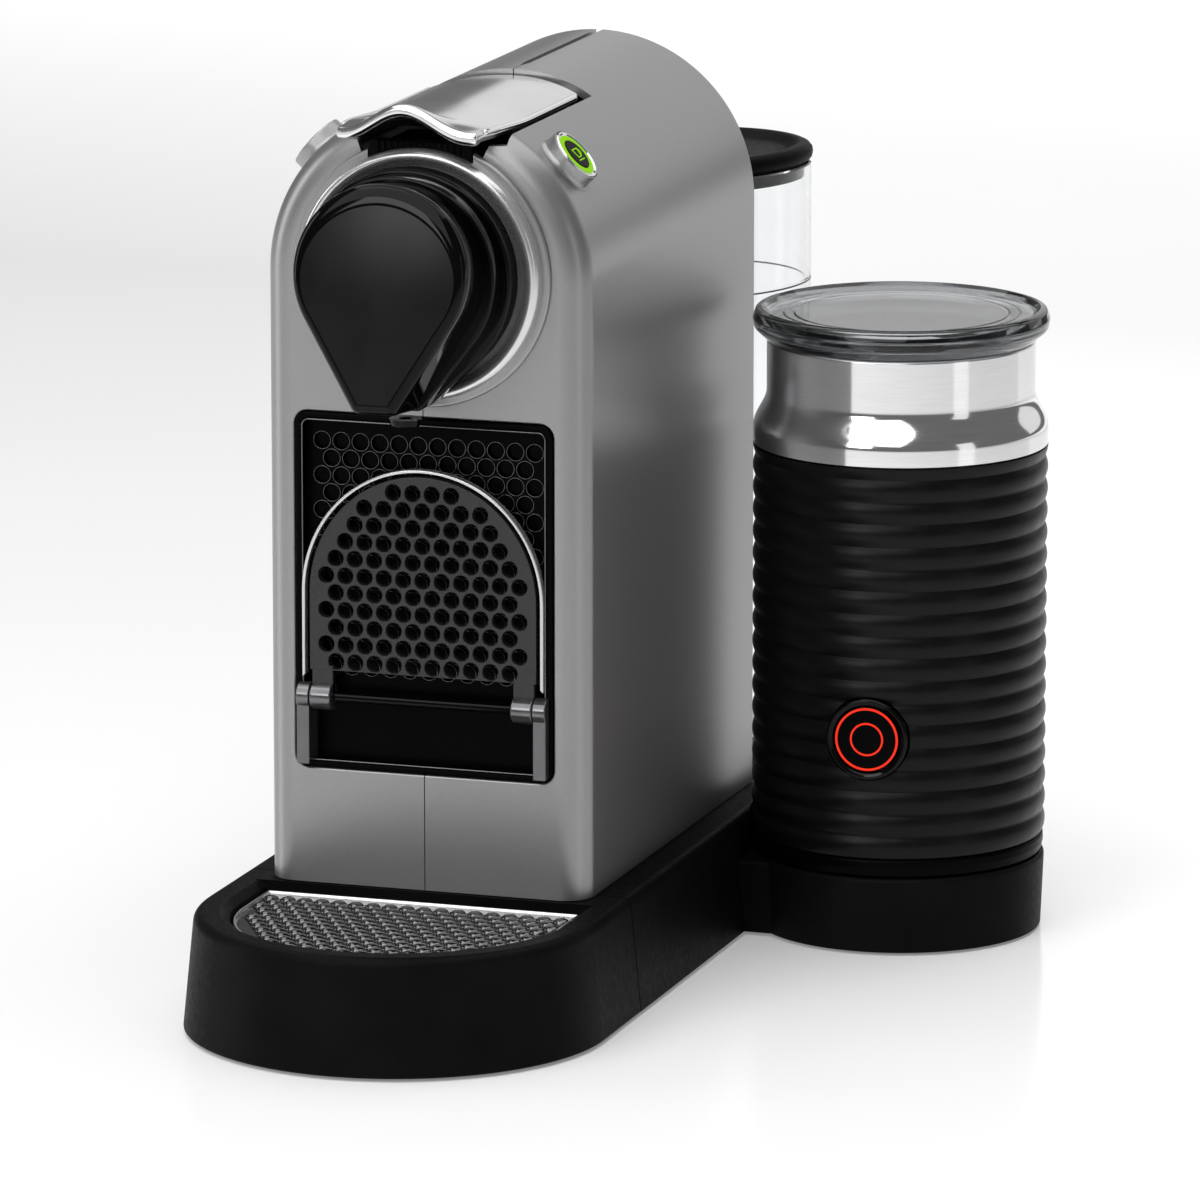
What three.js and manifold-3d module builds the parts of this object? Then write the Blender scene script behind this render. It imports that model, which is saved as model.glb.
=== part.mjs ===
// Pod coffee machine with a milk frother beside it, as an assembly of separate pieces.
// Millimetres, +Z up. Inside this file X = 0 is the machine's middle plane (the frother stands on
// +X), the machine's front faces -Y, Y = 0 runs through the frother's axis, and Z = 0 is the table.
// The exported group is moved so that its origin is the bottom centre of the bounding box.
import * as THREE from "three";
import { mergeVertices } from "three/addons/utils/BufferGeometryUtils.js";
import Module from "manifold-3d";

const wasm = await Module();
wasm.setup();

// ---------------------------------------------------------------- driving dimensions
const GAP = 0.3; // between neighbouring pieces

// silver housing: straight sides under a half-round top
const HALF_WIDTH = 51.5;
const ARCH_CENTRE = 226;
const HOUSING_BOTTOM = 36.6;
const FRONT_Y = -151;
const REAR_Y = 20.3;
const WALL = 2.4;
const FRONT_FILLET = 9;
const INNER_HALF = HALF_WIDTH - WALL;
const TOP_SLOT_FRONT = -58;

// black base
const BASE_BOTTOM = 1;
const BASE_TOP = 36.3;
const BASE_HALF = 64;
const BASE_FRONT_CENTRE = -175;
const BASE_REAR_CORNER = 36;
const BASE_REAR = 120;
const BASE_SEAM = -139;
const BASE_WALL = 3;
const SPREAD_BOTTOM = 1.3; // how far the base flares outside BASE_HALF at the table
const SPREAD_SIDE = -1.6;
const SPREAD_SHOULDER = -2.6;
const SPREAD_TOP = -4.5;
const FOOT_HEIGHT = 2.1;
const PLATE_TOP = 5;

// frother station and jug
const FROTHER_X = 106.2;
const STATION_RADIUS = 46.2;
const STATION_TOP = 24.1;
const BRIDGE_HALF = 32.5;
const JUG_RADIUS = 46.4;
const NECK_RADIUS = 42.2;
const SLEEVE_BOTTOM = 30.6;
const SLEEVE_TOP = 154.6;
const NECK_TOP = 187.6;
const LID_TOP = 198;
const JUG_BUTTON_HEIGHT = 69;
const JUG_BUTTON_TURN = THREE.MathUtils.degToRad(4);

// brew head
const HEAD_CENTRE = 228;
const RING_RADIUS = 38.5;
const COLLAR_RADIUS = 41;
const CORE_RADIUS = 30.7;
const CORE_DEPTH = 22.8; // in front of the housing's face
const COVER_RADIUS = 27.3;
const COVER_TIP = 41.8; // from the cover's centre to its tip, along its face
const COVER_TIP_HALF = 6.4;
const COVER_FRONT = -192.4;
const COVER_RISE = 6.2; // its centre above the head's
const COVER_TILT = THREE.MathUtils.degToRad(7);

// pocket, used-capsule bin and cup support
const POCKET_HALF = 41.2;
const POCKET_BOTTOM = 73;
const POCKET_TOP = 183.4;
const POCKET_FLOOR_Y = -146.5;
const BIN_REAR = -50;
const HINGE_HEIGHT = 95.3;
const HINGE_Y = -151.4;
const HINGE_RADIUS = 4.2;
const SUPPORT_BOTTOM = 101;
const SUPPORT_TOP = 166;
const SUPPORT_HALF = 38.4;

// lever
const LEVER_HALF = 23.8;
const LEVER_PIVOT_Y = -76;
const LEVER_PIVOT_Z = 266;
const LEVER_REAR = -66.3;
const LEVER_FRONT = -170;
const LEVER_CROWN = 275.7;
const LEVER_BARREL = 9.6;
const LEVER_THICKNESS = 1.6;

// cup buttons on the shoulders of the arch
const BUTTON_TILT = THREE.MathUtils.degToRad(48.5);
const BUTTON_Y = -129;
const BUTTON_REACH = 56; // from the arch centre to the button's face
const BUTTON_RIM = 8.5;
const BUTTON_RADIUS = 5.9;

// water tank
const TANK_HALF = 49;
const TANK_MIDDLE_Y = 86;
const TANK_REAR_RADIUS = 31;
const TANK_BOTTOM = 37.4;
const TANK_TOP = 226.2;
const TANK_WALL = 2.2;
const TANK_LID_TOP = 232.5;
const DOCK_Y = 60;

// works
const SHELF_Z = 186;
const SHELF_TOP = 190;
const BULKHEAD_Y = -46;
const PUMP_X = -18;
const PUMP_Y = -15;

// the bounding box's middle, which becomes the origin
const BOX_LEFT = -(BASE_HALF + SPREAD_BOTTOM);
const BOX_RIGHT = FROTHER_X + 46.7;
const BOX_FRONT = BASE_FRONT_CENTRE - BASE_HALF - SPREAD_BOTTOM;
const BOX_REAR = BASE_REAR + SPREAD_BOTTOM;

// ---------------------------------------------------------------- materials
function material(color, roughness, metalness, opacity = 1) {
  return new THREE.MeshStandardMaterial({
    color,
    roughness,
    metalness,
    opacity,
    transparent: opacity < 1,
  });
}

const satinSilver = material(0x9fa0a2, 0.42, 0.6);
const matteBlack = material(0x141416, 0.6, 0);
const glossBlack = material(0x08080a, 0.12, 0);
const darkGrey = material(0x2c2c30, 0.4, 0.2);
const chrome = material(0xdedee0, 0.08, 1);
const steel = material(0xb9babc, 0.3, 1);
const rubber = material(0x1c1c1c, 0.9, 0);
const greyPlastic = material(0x6d7074, 0.6, 0);
const clearPlastic = material(0xeef2f4, 0.05, 0, 0.25);
const smokyPlastic = material(0x8d9296, 0.08, 0, 0.45);
const boardGreen = material(0x1f5b34, 0.6, 0);
const litGreen = material(0x8fd400, 0.4, 0);
const litRed = material(0xd02018, 0.4, 0);

// ---------------------------------------------------------------- solids
// A closed geometry as a manifold solid whose faces point out.
function solid(geometry) {
  const loose = geometry.index ? geometry.toNonIndexed() : geometry;
  const bare = new THREE.BufferGeometry();
  bare.setAttribute("position", loose.getAttribute("position").clone());
  const merged = mergeVertices(bare, 1e-4);
  const vertProperties = new Float32Array(merged.attributes.position.array);
  const triVerts = new Uint32Array(merged.index.array);
  const made = new wasm.Manifold(new wasm.Mesh({ numProp: 3, vertProperties, triVerts }));
  if (made.volume() > 0) return made;
  return new wasm.Manifold(
    new wasm.Mesh({ numProp: 3, vertProperties, triVerts: triVerts.reverse() }),
  );
}

function geometryOf(shape) {
  const mesh = shape.getMesh();
  const geometry = new THREE.BufferGeometry();
  geometry.setAttribute("position", new THREE.BufferAttribute(mesh.vertProperties, 3));
  geometry.setIndex(new THREE.BufferAttribute(mesh.triVerts, 1));
  geometry.computeVertexNormals();
  return geometry;
}

function joined(...shapes) {
  return shapes.reduce((whole, shape) => whole.add(shape));
}

function block(x0, x1, y0, y1, z0, z1) {
  const geometry = new THREE.BoxGeometry(x1 - x0, y1 - y0, z1 - z0);
  geometry.translate((x0 + x1) / 2, (y0 + y1) / 2, (z0 + z1) / 2);
  return solid(geometry);
}

// A shape drawn in X and Y, raised from z0 to z1.
function prismZ(shape, z0, z1, curveSegments = 12) {
  const settings = { depth: z1 - z0, bevelEnabled: false, curveSegments };
  return solid(new THREE.ExtrudeGeometry(shape, settings).translate(0, 0, z0));
}

// A shape drawn in X and Z, carried from y0 to y1, with both end edges rounded by bevel.
function prismY(shape, y0, y1, bevel = 0, curveSegments = 12) {
  const geometry = new THREE.ExtrudeGeometry(shape, {
    depth: y1 - y0 - 2 * bevel,
    bevelEnabled: bevel > 0,
    bevelThickness: bevel,
    bevelSize: bevel,
    bevelOffset: -bevel,
    bevelSegments: 3,
    curveSegments,
  });
  geometry.rotateX(Math.PI / 2);
  geometry.translate(0, y1 - bevel, 0);
  return solid(geometry);
}

// A round bar from one point to another.
function rod(from, to, radius, sides = 16) {
  const start = new THREE.Vector3(...from);
  const end = new THREE.Vector3(...to);
  const along = end.clone().sub(start);
  const geometry = new THREE.CylinderGeometry(radius, radius, along.length(), sides);
  const turn = new THREE.Quaternion().setFromUnitVectors(
    new THREE.Vector3(0, 1, 0),
    along.clone().normalize(),
  );
  geometry.applyQuaternion(turn);
  geometry.translate(...start.add(end).multiplyScalar(0.5).toArray());
  return solid(geometry);
}

// A profile of [radius, height] pairs turned about the Z axis.
function turned(profile, sides = 28) {
  const points = profile.map(([radius, height]) => new THREE.Vector2(radius, height));
  return solid(new THREE.LatheGeometry(points, sides).rotateX(Math.PI / 2));
}

// A ring whose section is the closed outline of [radius, height] pairs.
function ring(section, sides = 28) {
  return turned([...section, section[0]], sides);
}

function disc(radius, z0, z1, sides = 28) {
  return turned([[0, z0], [radius, z0], [radius, z1], [0, z1]], sides);
}

function washer(inner, outer, z0, z1, sides = 28) {
  return ring([[inner, z0], [outer, z0], [outer, z1], [inner, z1]], sides);
}

// A skin over outlines of equal point count, each an { outline, z }, closed at both ends.
function loft(sections) {
  const count = sections[0].outline.length;
  const top = (sections.length - 1) * count;
  const positions = sections.flatMap(({ outline, z }) => outline.flatMap((p) => [p.x, p.y, z]));
  const faces = [];
  for (let level = 0; level < top; level += count) {
    for (let i = 0; i < count; i++) {
      const a = level + i;
      const b = level + ((i + 1) % count);
      faces.push(a, b, b + count, a, b + count, a + count);
    }
  }
  for (const [a, b, c] of THREE.ShapeUtils.triangulateShape(sections[0].outline, [])) {
    faces.push(a, c, b);
  }
  for (const [a, b, c] of THREE.ShapeUtils.triangulateShape(sections.at(-1).outline, [])) {
    faces.push(top + a, top + b, top + c);
  }
  const geometry = new THREE.BufferGeometry();
  geometry.setAttribute("position", new THREE.Float32BufferAttribute(positions, 3));
  geometry.setIndex(faces);
  return geometry;
}

// A hose along a smooth curve through the points.
function hose(points, radius) {
  const section = new THREE.Shape().absarc(0, 0, radius, 0, 2 * Math.PI, false);
  const path = new THREE.CatmullRomCurve3(points.map((p) => new THREE.Vector3(...p)));
  const steps = Math.round(path.getLength() / (4 * radius));
  const settings = { steps, bevelEnabled: false, extrudePath: path, curveSegments: 4 };
  return solid(new THREE.ExtrudeGeometry(section, settings));
}

// Points of an arc from angle a to angle b, both ends included.
function arc(x, y, radius, a, b, steps) {
  return Array.from({ length: steps + 1 }, (_, i) => {
    const angle = a + ((b - a) * i) / steps;
    return new THREE.Vector2(x + radius * Math.cos(angle), y + radius * Math.sin(angle));
  });
}

function roundedRectangle(x0, x1, y0, y1, radius) {
  const shape = new THREE.Shape();
  shape.absarc(x1 - radius, y0 + radius, radius, -Math.PI / 2, 0, false);
  shape.absarc(x1 - radius, y1 - radius, radius, 0, Math.PI / 2, false);
  shape.absarc(x0 + radius, y1 - radius, radius, Math.PI / 2, Math.PI, false);
  shape.absarc(x0 + radius, y0 + radius, radius, Math.PI, 1.5 * Math.PI, false);
  return shape;
}

const object = new THREE.Group();

function add(name, shape, look, parent = object) {
  const mesh = new THREE.Mesh(geometryOf(shape), look);
  mesh.name = name;
  parent.add(mesh);
}

// ---------------------------------------------------------------- base
// Plan of the base: half-round front, straight sides, round rear corners, grown by spread.
function basePlan(spread) {
  const corner = BASE_REAR_CORNER + spread;
  const cornerX = BASE_HALF - BASE_REAR_CORNER;
  const cornerY = BASE_REAR - BASE_REAR_CORNER;
  return [
    ...arc(0, BASE_FRONT_CENTRE, BASE_HALF + spread, Math.PI, 2 * Math.PI, 16),
    ...arc(cornerX, cornerY, corner, 0, Math.PI / 2, 5),
    ...arc(-cornerX, cornerY, corner, Math.PI / 2, Math.PI, 5),
  ];
}

function baseOuter() {
  return solid(
    loft([
      { outline: basePlan(SPREAD_BOTTOM), z: BASE_BOTTOM },
      { outline: basePlan(SPREAD_SIDE), z: BASE_TOP - 3.4 },
      { outline: basePlan(SPREAD_SHOULDER), z: BASE_TOP - 1 },
      { outline: basePlan(SPREAD_TOP), z: BASE_TOP },
    ]),
  );
}

function baseInner(spread, z0, z1) {
  return solid(loft([{ outline: basePlan(spread), z: z0 }, { outline: basePlan(spread), z: z1 }]));
}

const screwPlaces = {
  front_left: [-50, -122],
  front_right: [50, -122],
  rear_left: [-30, 92],
  rear_right: [30, 92],
};
const footPlaces = {
  front_left: [-42, -106],
  front_right: [42, -106],
  rear_left: [-44, 74],
  rear_right: [44, 74],
  frother: [FROTHER_X + 26, 0],
};

const station = turned([
  [0, BASE_BOTTOM],
  [STATION_RADIUS - 1.2, BASE_BOTTOM],
  [STATION_RADIUS, 21.5],
  [STATION_RADIUS - 0.7, STATION_TOP],
  [0, STATION_TOP],
]).translate([FROTHER_X, 0, 0]);
const stationHollow = disc(STATION_RADIUS - 4.2, 0, STATION_TOP - 3).translate([FROTHER_X, 0, 0]);
const bridge = block(58, 90, -BRIDGE_HALF, BRIDGE_HALF, BASE_BOTTOM, STATION_TOP - 0.6);
const bridgeHollow = block(50, 92, 3 - BRIDGE_HALF, BRIDGE_HALF - 3, 0, STATION_TOP - 3.6);
const behindSeam = block(-90, 160, BASE_SEAM, 140, 0, 60);
const hoseHole = rod([PUMP_X, PUMP_Y, 20], [PUMP_X, PUMP_Y, 45], 5);
const dockHole = rod([0, DOCK_Y, 30], [0, DOCK_Y, 40], 8.3);
const glandHole = rod([-34, 100, 16], [-34, 130, 16], 6.3);

function screwBoss([x, y]) {
  return rod([x, y, PLATE_TOP + GAP], [x, y, BASE_TOP - 2], 4, 8);
}

function screwBore([x, y]) {
  return rod([x, y, PLATE_TOP], [x, y, 18], 1.9, 8);
}

function baseHousing() {
  const hollow = baseInner(-5.5, 0, BASE_TOP - BASE_WALL).intersect(
    block(-90, 90, BASE_SEAM + BASE_WALL, 140, -1, 60),
  );
  const jugRoom = rod([FROTHER_X, 0, STATION_TOP], [FROTHER_X, 0, 60], JUG_RADIUS + 0.6, 36);
  const body = baseOuter().intersect(behindSeam).subtract(jugRoom);
  const shell = joined(body, bridge, station).subtract(
    joined(hollow, bridgeHollow, stationHollow, hoseHole, dockHole, glandHole),
  );
  const places = Object.values(screwPlaces);
  return joined(shell, ...places.map(screwBoss)).subtract(joined(...places.map(screwBore)));
}

function basePlate() {
  const under = baseInner(-5.8, BASE_BOTTOM, PLATE_TOP).intersect(
    block(-90, 90, BASE_SEAM + BASE_WALL + GAP, 140, 0, 60),
  );
  const neck = block(50, 92, 3.3 - BRIDGE_HALF, BRIDGE_HALF - 3.3, BASE_BOTTOM, PLATE_TOP);
  const round = disc(STATION_RADIUS - 4.5, BASE_BOTTOM, PLATE_TOP).translate([FROTHER_X, 0, 0]);
  const cuts = Object.values(footPlaces).map(([x, y]) => rod([x, y, 0], [x, y, 2.4], 7.4, 12));
  for (const [x, y] of Object.values(screwPlaces)) {
    cuts.push(rod([x, y, 0], [x, y, 3], 4, 8), rod([x, y, 0], [x, y, 9], 2, 8));
  }
  return joined(under, neck, round).subtract(joined(...cuts));
}

add("base_housing", baseHousing(), matteBlack);
add("base_plate", basePlate(), matteBlack);
for (const [place, [x, y]] of Object.entries(footPlaces)) {
  add(`foot_${place}`, rod([x, y, 0], [x, y, FOOT_HEIGHT], 7, 12), rubber);
}
for (const [place, [x, y]] of Object.entries(screwPlaces)) {
  const head = rod([x, y, 1.3], [x, y, 2.7], 3.6, 8);
  const shank = rod([x, y, 2], [x, y, 15], 1.6, 8);
  add(`base_screw_${place}`, joined(head, shank), steel);
}
const gland = joined(
  rod([-34, 108, 16], [-34, 121, 16], 6, 20),
  rod([-34, 106, 16], [-34, 110, 16], 8, 20),
);
add("cord_gland", gland.subtract(rod([-34, 100, 16], [-34, 130, 16], 3.4, 16)), rubber);

// ---------------------------------------------------------------- silver housing
function archShape(halfWidth, bottom) {
  const shape = new THREE.Shape();
  shape.moveTo(halfWidth, bottom);
  shape.lineTo(halfWidth, ARCH_CENTRE);
  shape.absarc(0, ARCH_CENTRE, halfWidth, 0, Math.PI, false);
  shape.lineTo(-halfWidth, bottom);
  return shape;
}

function buttonBar(side, from, to, radius) {
  const direction = [side * Math.sin(BUTTON_TILT), Math.cos(BUTTON_TILT)];
  const at = (reach) => [direction[0] * reach, BUTTON_Y, ARCH_CENTRE + direction[1] * reach];
  return rod(at(from), at(to), radius);
}

function housingShell() {
  const below = HOUSING_BOTTOM - 2 * FRONT_FILLET;
  const beyond = REAR_Y + 2 * FRONT_FILLET;
  const outer = prismY(archShape(HALF_WIDTH, below), FRONT_Y, beyond, FRONT_FILLET, 20);
  const innerFillet = FRONT_FILLET - WALL;
  const hollowShape = archShape(INNER_HALF, below - 10);
  const hollow = prismY(hollowShape, FRONT_Y + WALL, beyond + 10, innerFillet, 20);
  return outer
    .subtract(hollow)
    .intersect(block(-60, 60, FRONT_Y - 1, REAR_Y, HOUSING_BOTTOM, 300));
}

// The lever lies in a recess in the top that opens into the capsule throat at the front and is
// deeper around the pivot, where the lever's rear edge swings down.
function leverRecess() {
  const plan = new THREE.Shape();
  plan.moveTo(-26, -180);
  plan.lineTo(26, -180);
  plan.lineTo(26, -67);
  plan.quadraticCurveTo(0, -64.8, -26, -67);
  const front = new THREE.Shape();
  front.moveTo(-16.5, 257.5);
  front.lineTo(16.5, 257.5);
  front.lineTo(26, 270);
  front.lineTo(-26, 270);
  const swing = prismZ(plan, 262, 300).intersect(block(-30, 30, -104, -60, 260, 300));
  return joined(prismZ(plan, 267.6, 300), swing, prismY(front, -160, -140));
}

const pocketOpening = roundedRectangle(
  -POCKET_HALF - GAP,
  POCKET_HALF + GAP,
  POCKET_BOTTOM - GAP,
  POCKET_TOP + GAP,
  4.3,
);
const headHole = rod([0, -160, HEAD_CENTRE], [0, -140, HEAD_CENTRE], 34, 32);
const topSlot = block(-1, 1, TOP_SLOT_FRONT, REAR_Y + 1, 276.1, 300);
const housing = housingShell().subtract(
  joined(
    leverRecess(),
    prismY(pocketOpening, -160, -140),
    headHole,
    topSlot,
    buttonBar(1, 40, 60, BUTTON_RIM + GAP),
    buttonBar(-1, 40, 60, BUTTON_RIM + GAP),
  ),
);
add("housing_left", housing.intersect(block(-60, -GAP / 2, -200, 60, 0, 300)), satinSilver);
add("housing_right", housing.intersect(block(GAP / 2, 60, -200, 60, 0, 300)), satinSilver);
const rearArch = archShape(INNER_HALF - GAP, HOUSING_BOTTOM + 0.4);
add("rear_cover", prismY(rearArch, 17.2, 20, 0, 24), matteBlack);

// ---------------------------------------------------------------- cup buttons
for (const [name, side] of [["left", -1], ["right", 1]]) {
  const rim = buttonBar(side, 46.5, BUTTON_REACH, BUTTON_RIM).subtract(
    buttonBar(side, 40, 60, BUTTON_RADIUS + GAP),
  );
  add(`button_rim_${name}`, rim, chrome);
  const button = buttonBar(side, 48.5, BUTTON_REACH - 0.4, BUTTON_RADIUS);
  add(`coffee_button_${name}`, button, litGreen);
}

// ---------------------------------------------------------------- brew head
// Heights in these profiles run from the housing's front face towards the user.
const head = new THREE.Group();
head.position.set(0, FRONT_Y, HEAD_CENTRE);
head.rotation.x = Math.PI / 2;
object.add(head);

const headRing = ring([
  [31, -5],
  [33.7, -5],
  [33.7, GAP],
  [COLLAR_RADIUS, GAP],
  [COLLAR_RADIUS - 0.6, 1.8],
  [RING_RADIUS, 1.8],
  [RING_RADIUS, 5.6],
  [RING_RADIUS - 1.2, 6.6],
  [RING_RADIUS - 2.6, 6.2],
  [31.2, 3.4],
], 36);
// the throat's nose passes through the top of the ring
const throatGap = block(-60, 60, 28.9, 60, -10, 2.1).intersect(block(-16.8, 16.8, 20, 60, -10, 10));
add("head_ring", headRing.subtract(throatGap), chrome, head);

const coreBody = turned([
  [0, -4.7],
  [CORE_RADIUS, -4.7],
  [CORE_RADIUS, 8],
  [29, 8.6],
  [29, 15],
  [27.6, 15.6],
  [27.6, CORE_DEPTH],
  [0, CORE_DEPTH],
], 32);
const coreNeck = block(-8, 8, -40, -20, 7.2, CORE_DEPTH);
const coreBore = rod([0, -60, 16], [0, -20, 16], 2.6, 12);
const coreEntry = rod([0, -22, 18], [0, -22, -10], 2.6, 12);
add("head_core", joined(coreBody, coreNeck).subtract(joined(coreBore, coreEntry)), glossBlack, head);

// Teardrop: a round top whose straight sides run down to a blunt tip, shrunk by inset.
function teardrop(inset) {
  const radius = COVER_RADIUS - inset;
  const tipHalf = COVER_TIP_HALF - inset * 0.7;
  const tip = COVER_TIP - inset;
  const start = Math.atan2(-tip, tipHalf) + Math.acos(radius / Math.hypot(tip, tipHalf));
  const end = Math.PI - start;
  return [
    new THREE.Vector2(-tipHalf, -tip),
    new THREE.Vector2(tipHalf, -tip),
    ...arc(0, 0, radius, start, end, 18),
  ];
}

function headCover() {
  const geometry = loft([
    { outline: teardrop(0.8), z: -32 },
    { outline: teardrop(0), z: -5 },
    { outline: teardrop(0), z: -2.6 },
    { outline: teardrop(0.9), z: -0.9 },
    { outline: teardrop(3.1), z: 0 },
  ]);
  geometry.rotateX(Math.PI / 2 - COVER_TILT);
  geometry.translate(0, COVER_FRONT, HEAD_CENTRE + COVER_RISE);
  const coreFront = FRONT_Y - CORE_DEPTH - GAP;
  return solid(geometry).intersect(block(-60, 60, -260, coreFront, 150, 300));
}
add("head_cover", headCover(), glossBlack);
const spoutY = FRONT_Y - 16;
const spout = rod([0, spoutY, 184.2], [0, spoutY, 187.7], 5, 20);
add("outlet_spout", spout.subtract(rod([0, spoutY, 170], [0, spoutY, 190], 2, 12)), glossBlack);

// ---------------------------------------------------------------- capsule throat and brewing unit
const throat = joined(
  block(-24, 24, -147, -101, 259.2, 264),
  block(-16.2, 16.2, -152.6, -147, 259.2, 268),
);
add("throat_block", throat.subtract(block(-19.5, 19.5, -137, -106, 250, 270)), matteBlack);

function brewFrame() {
  const plates = [-1, 1].map((side) => {
    const x0 = Math.min(side * 20.4, side * 23.6);
    const cheek = block(x0, x0 + 3.2, -141, -40, SHELF_TOP + GAP, 254);
    const ear = block(x0, x0 + 3.2, LEVER_PIVOT_Y - 3.5, LEVER_PIVOT_Y + 3.5, 250, LEVER_PIVOT_Z);
    const eye = rod([x0, LEVER_PIVOT_Y, LEVER_PIVOT_Z], [x0 + 3.2, LEVER_PIVOT_Y, LEVER_PIVOT_Z], 3.5, 16);
    return joined(cheek, ear, eye);
  });
  const front = block(-23.6, 23.6, -144.5, -140.5, 196, 254).subtract(
    rod([0, -150, HEAD_CENTRE], [0, -130, HEAD_CENTRE], 14),
  );
  const rear = block(-23.6, 23.6, -42, -38, 200, 230);
  const pinHole = rod([-30, LEVER_PIVOT_Y, LEVER_PIVOT_Z], [30, LEVER_PIVOT_Y, LEVER_PIVOT_Z], 1.8, 16);
  return joined(...plates, front, rear).subtract(pinHole);
}
add("brew_frame", brewFrame(), greyPlastic);
const leverPin = rod([-24, LEVER_PIVOT_Y, LEVER_PIVOT_Z], [24, LEVER_PIVOT_Y, LEVER_PIVOT_Z], 1.5, 16);
add("lever_pin", leverPin, steel);

// the piston carries the capsule chamber, open to the front
const piston = joined(
  rod([0, -138, HEAD_CENTRE], [0, -100, HEAD_CENTRE], 18.5, 28),
  block(-19.8, 19.8, -104, -92, 214, 242),
).subtract(rod([0, -142, HEAD_CENTRE], [0, -112, HEAD_CENTRE], 15.5, 28));
add("brew_piston", piston, steel);

// ---------------------------------------------------------------- lever
// Height of the lever's skin across its width; towards the front it rises into a curled lip.
function leverHeight(x, crown, edge, curl) {
  const across = x / LEVER_HALF;
  const arch = 1 - across * across;
  const wave = Math.cos((across * Math.PI) / 2) ** 2;
  return edge + (crown - edge) * (arch + (wave - arch) * curl);
}

function leverSection(y, crown, edge, curl, half) {
  const steps = 10;
  const xs = Array.from({ length: steps + 1 }, (_, i) => half * ((2 * i) / steps - 1));
  const height = (x) => leverHeight((x * LEVER_HALF) / half, crown, edge, curl);
  const under = xs.map((x) => new THREE.Vector2(x, height(x) - LEVER_THICKNESS));
  const over = xs.reverse().map((x) => new THREE.Vector2(x, height(x)));
  return { outline: [...under, ...over], z: -y };
}

function leverSkin() {
  const geometry = loft([
    leverSection(LEVER_REAR, LEVER_CROWN, 271.3, 0, LEVER_HALF),
    leverSection(-80, LEVER_CROWN, 271.3, 0, LEVER_HALF),
    leverSection(-120, LEVER_CROWN + 0.4, 271.6, 0, LEVER_HALF),
    leverSection(-146, LEVER_CROWN + 1.4, 272.6, 0.2, LEVER_HALF),
    leverSection(-158, LEVER_CROWN + 3.4, 272.8, 0.6, LEVER_HALF),
    leverSection(LEVER_FRONT, LEVER_CROWN + 6.3, 272.6, 1, LEVER_HALF - 2),
  ]);
  geometry.rotateX(Math.PI / 2);
  return solid(geometry);
}

function lever() {
  const plan = new THREE.Shape();
  plan.moveTo(-LEVER_HALF, LEVER_FRONT - 2);
  plan.lineTo(LEVER_HALF, LEVER_FRONT - 2);
  plan.lineTo(LEVER_HALF, -74);
  plan.quadraticCurveTo(0, 2 * LEVER_REAR + 74, -LEVER_HALF, -74);
  const skin = leverSkin().intersect(prismZ(plan, 255, 290));
  const underArch = rod([0, -60, 208], [0, -100, 208], 67.4, 48);
  const knuckles = [-1, 1].map((side) => {
    const eye = [side * 13, LEVER_PIVOT_Y, LEVER_PIVOT_Z];
    return rod(eye, [side * 20, LEVER_PIVOT_Y, LEVER_PIVOT_Z], LEVER_BARREL, 20);
  });
  const lugs = joined(...knuckles).intersect(underArch);
  const bore = rod([-30, LEVER_PIVOT_Y, LEVER_PIVOT_Z], [30, LEVER_PIVOT_Y, LEVER_PIVOT_Z], 1.8, 16);
  return joined(skin, lugs).subtract(bore);
}
add("lever", lever(), chrome);

function leverArms() {
  const arms = [-1, 1].map((side) => {
    const x0 = Math.min(side * 9, side * 12.4);
    const eye = rod([x0, LEVER_PIVOT_Y, LEVER_PIVOT_Z], [x0 + 3.4, LEVER_PIVOT_Y, LEVER_PIVOT_Z], 5, 20);
    return joined(eye, block(x0, x0 + 3.4, LEVER_PIVOT_Y - 3, LEVER_PIVOT_Y + 3, 246, LEVER_PIVOT_Z));
  });
  const tie = block(-10, 10, LEVER_PIVOT_Y - 3, LEVER_PIVOT_Y + 3, 246, 250);
  const bore = rod([-30, LEVER_PIVOT_Y, LEVER_PIVOT_Z], [30, LEVER_PIVOT_Y, LEVER_PIVOT_Z], 1.8, 16);
  return joined(...arms, tie).subtract(bore);
}
add("lever_arms", leverArms(), steel);

// ---------------------------------------------------------------- inner frame and works
function innerFrame() {
  const floor = block(-47.5, 47.5, -141, 16.5, 36.9, 39.9).subtract(hoseHole);
  const bulkhead = block(-47.5, 47.5, BULKHEAD_Y, BULKHEAD_Y + 3, 38, SHELF_TOP);
  const shelf = block(-47.5, 47.5, -144, 16.5, SHELF_Z, SHELF_TOP).subtract(
    joined(
      block(-19.5, 19.5, -137, -104, 180, 200),
      rod([PUMP_X, PUMP_Y, 180], [PUMP_X, PUMP_Y, 200], 5),
    ),
  );
  const rails = [-1, 1].map((side) =>
    block(Math.min(side * 30, side * 47.5), Math.max(side * 30, side * 47.5), -142, -44, 72, 75.6),
  );
  const brackets = [
    block(-40, 4, -44, 6, 66, 70),
    block(-40, 4, -44, 6, 140, 144),
  ].map((bracket) => bracket.subtract(rod([PUMP_X, PUMP_Y, 60], [PUMP_X, PUMP_Y, 150], 15.2)));
  return joined(floor, bulkhead, shelf, ...rails, ...brackets);
}
add("inner_frame", innerFrame(), greyPlastic);

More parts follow.
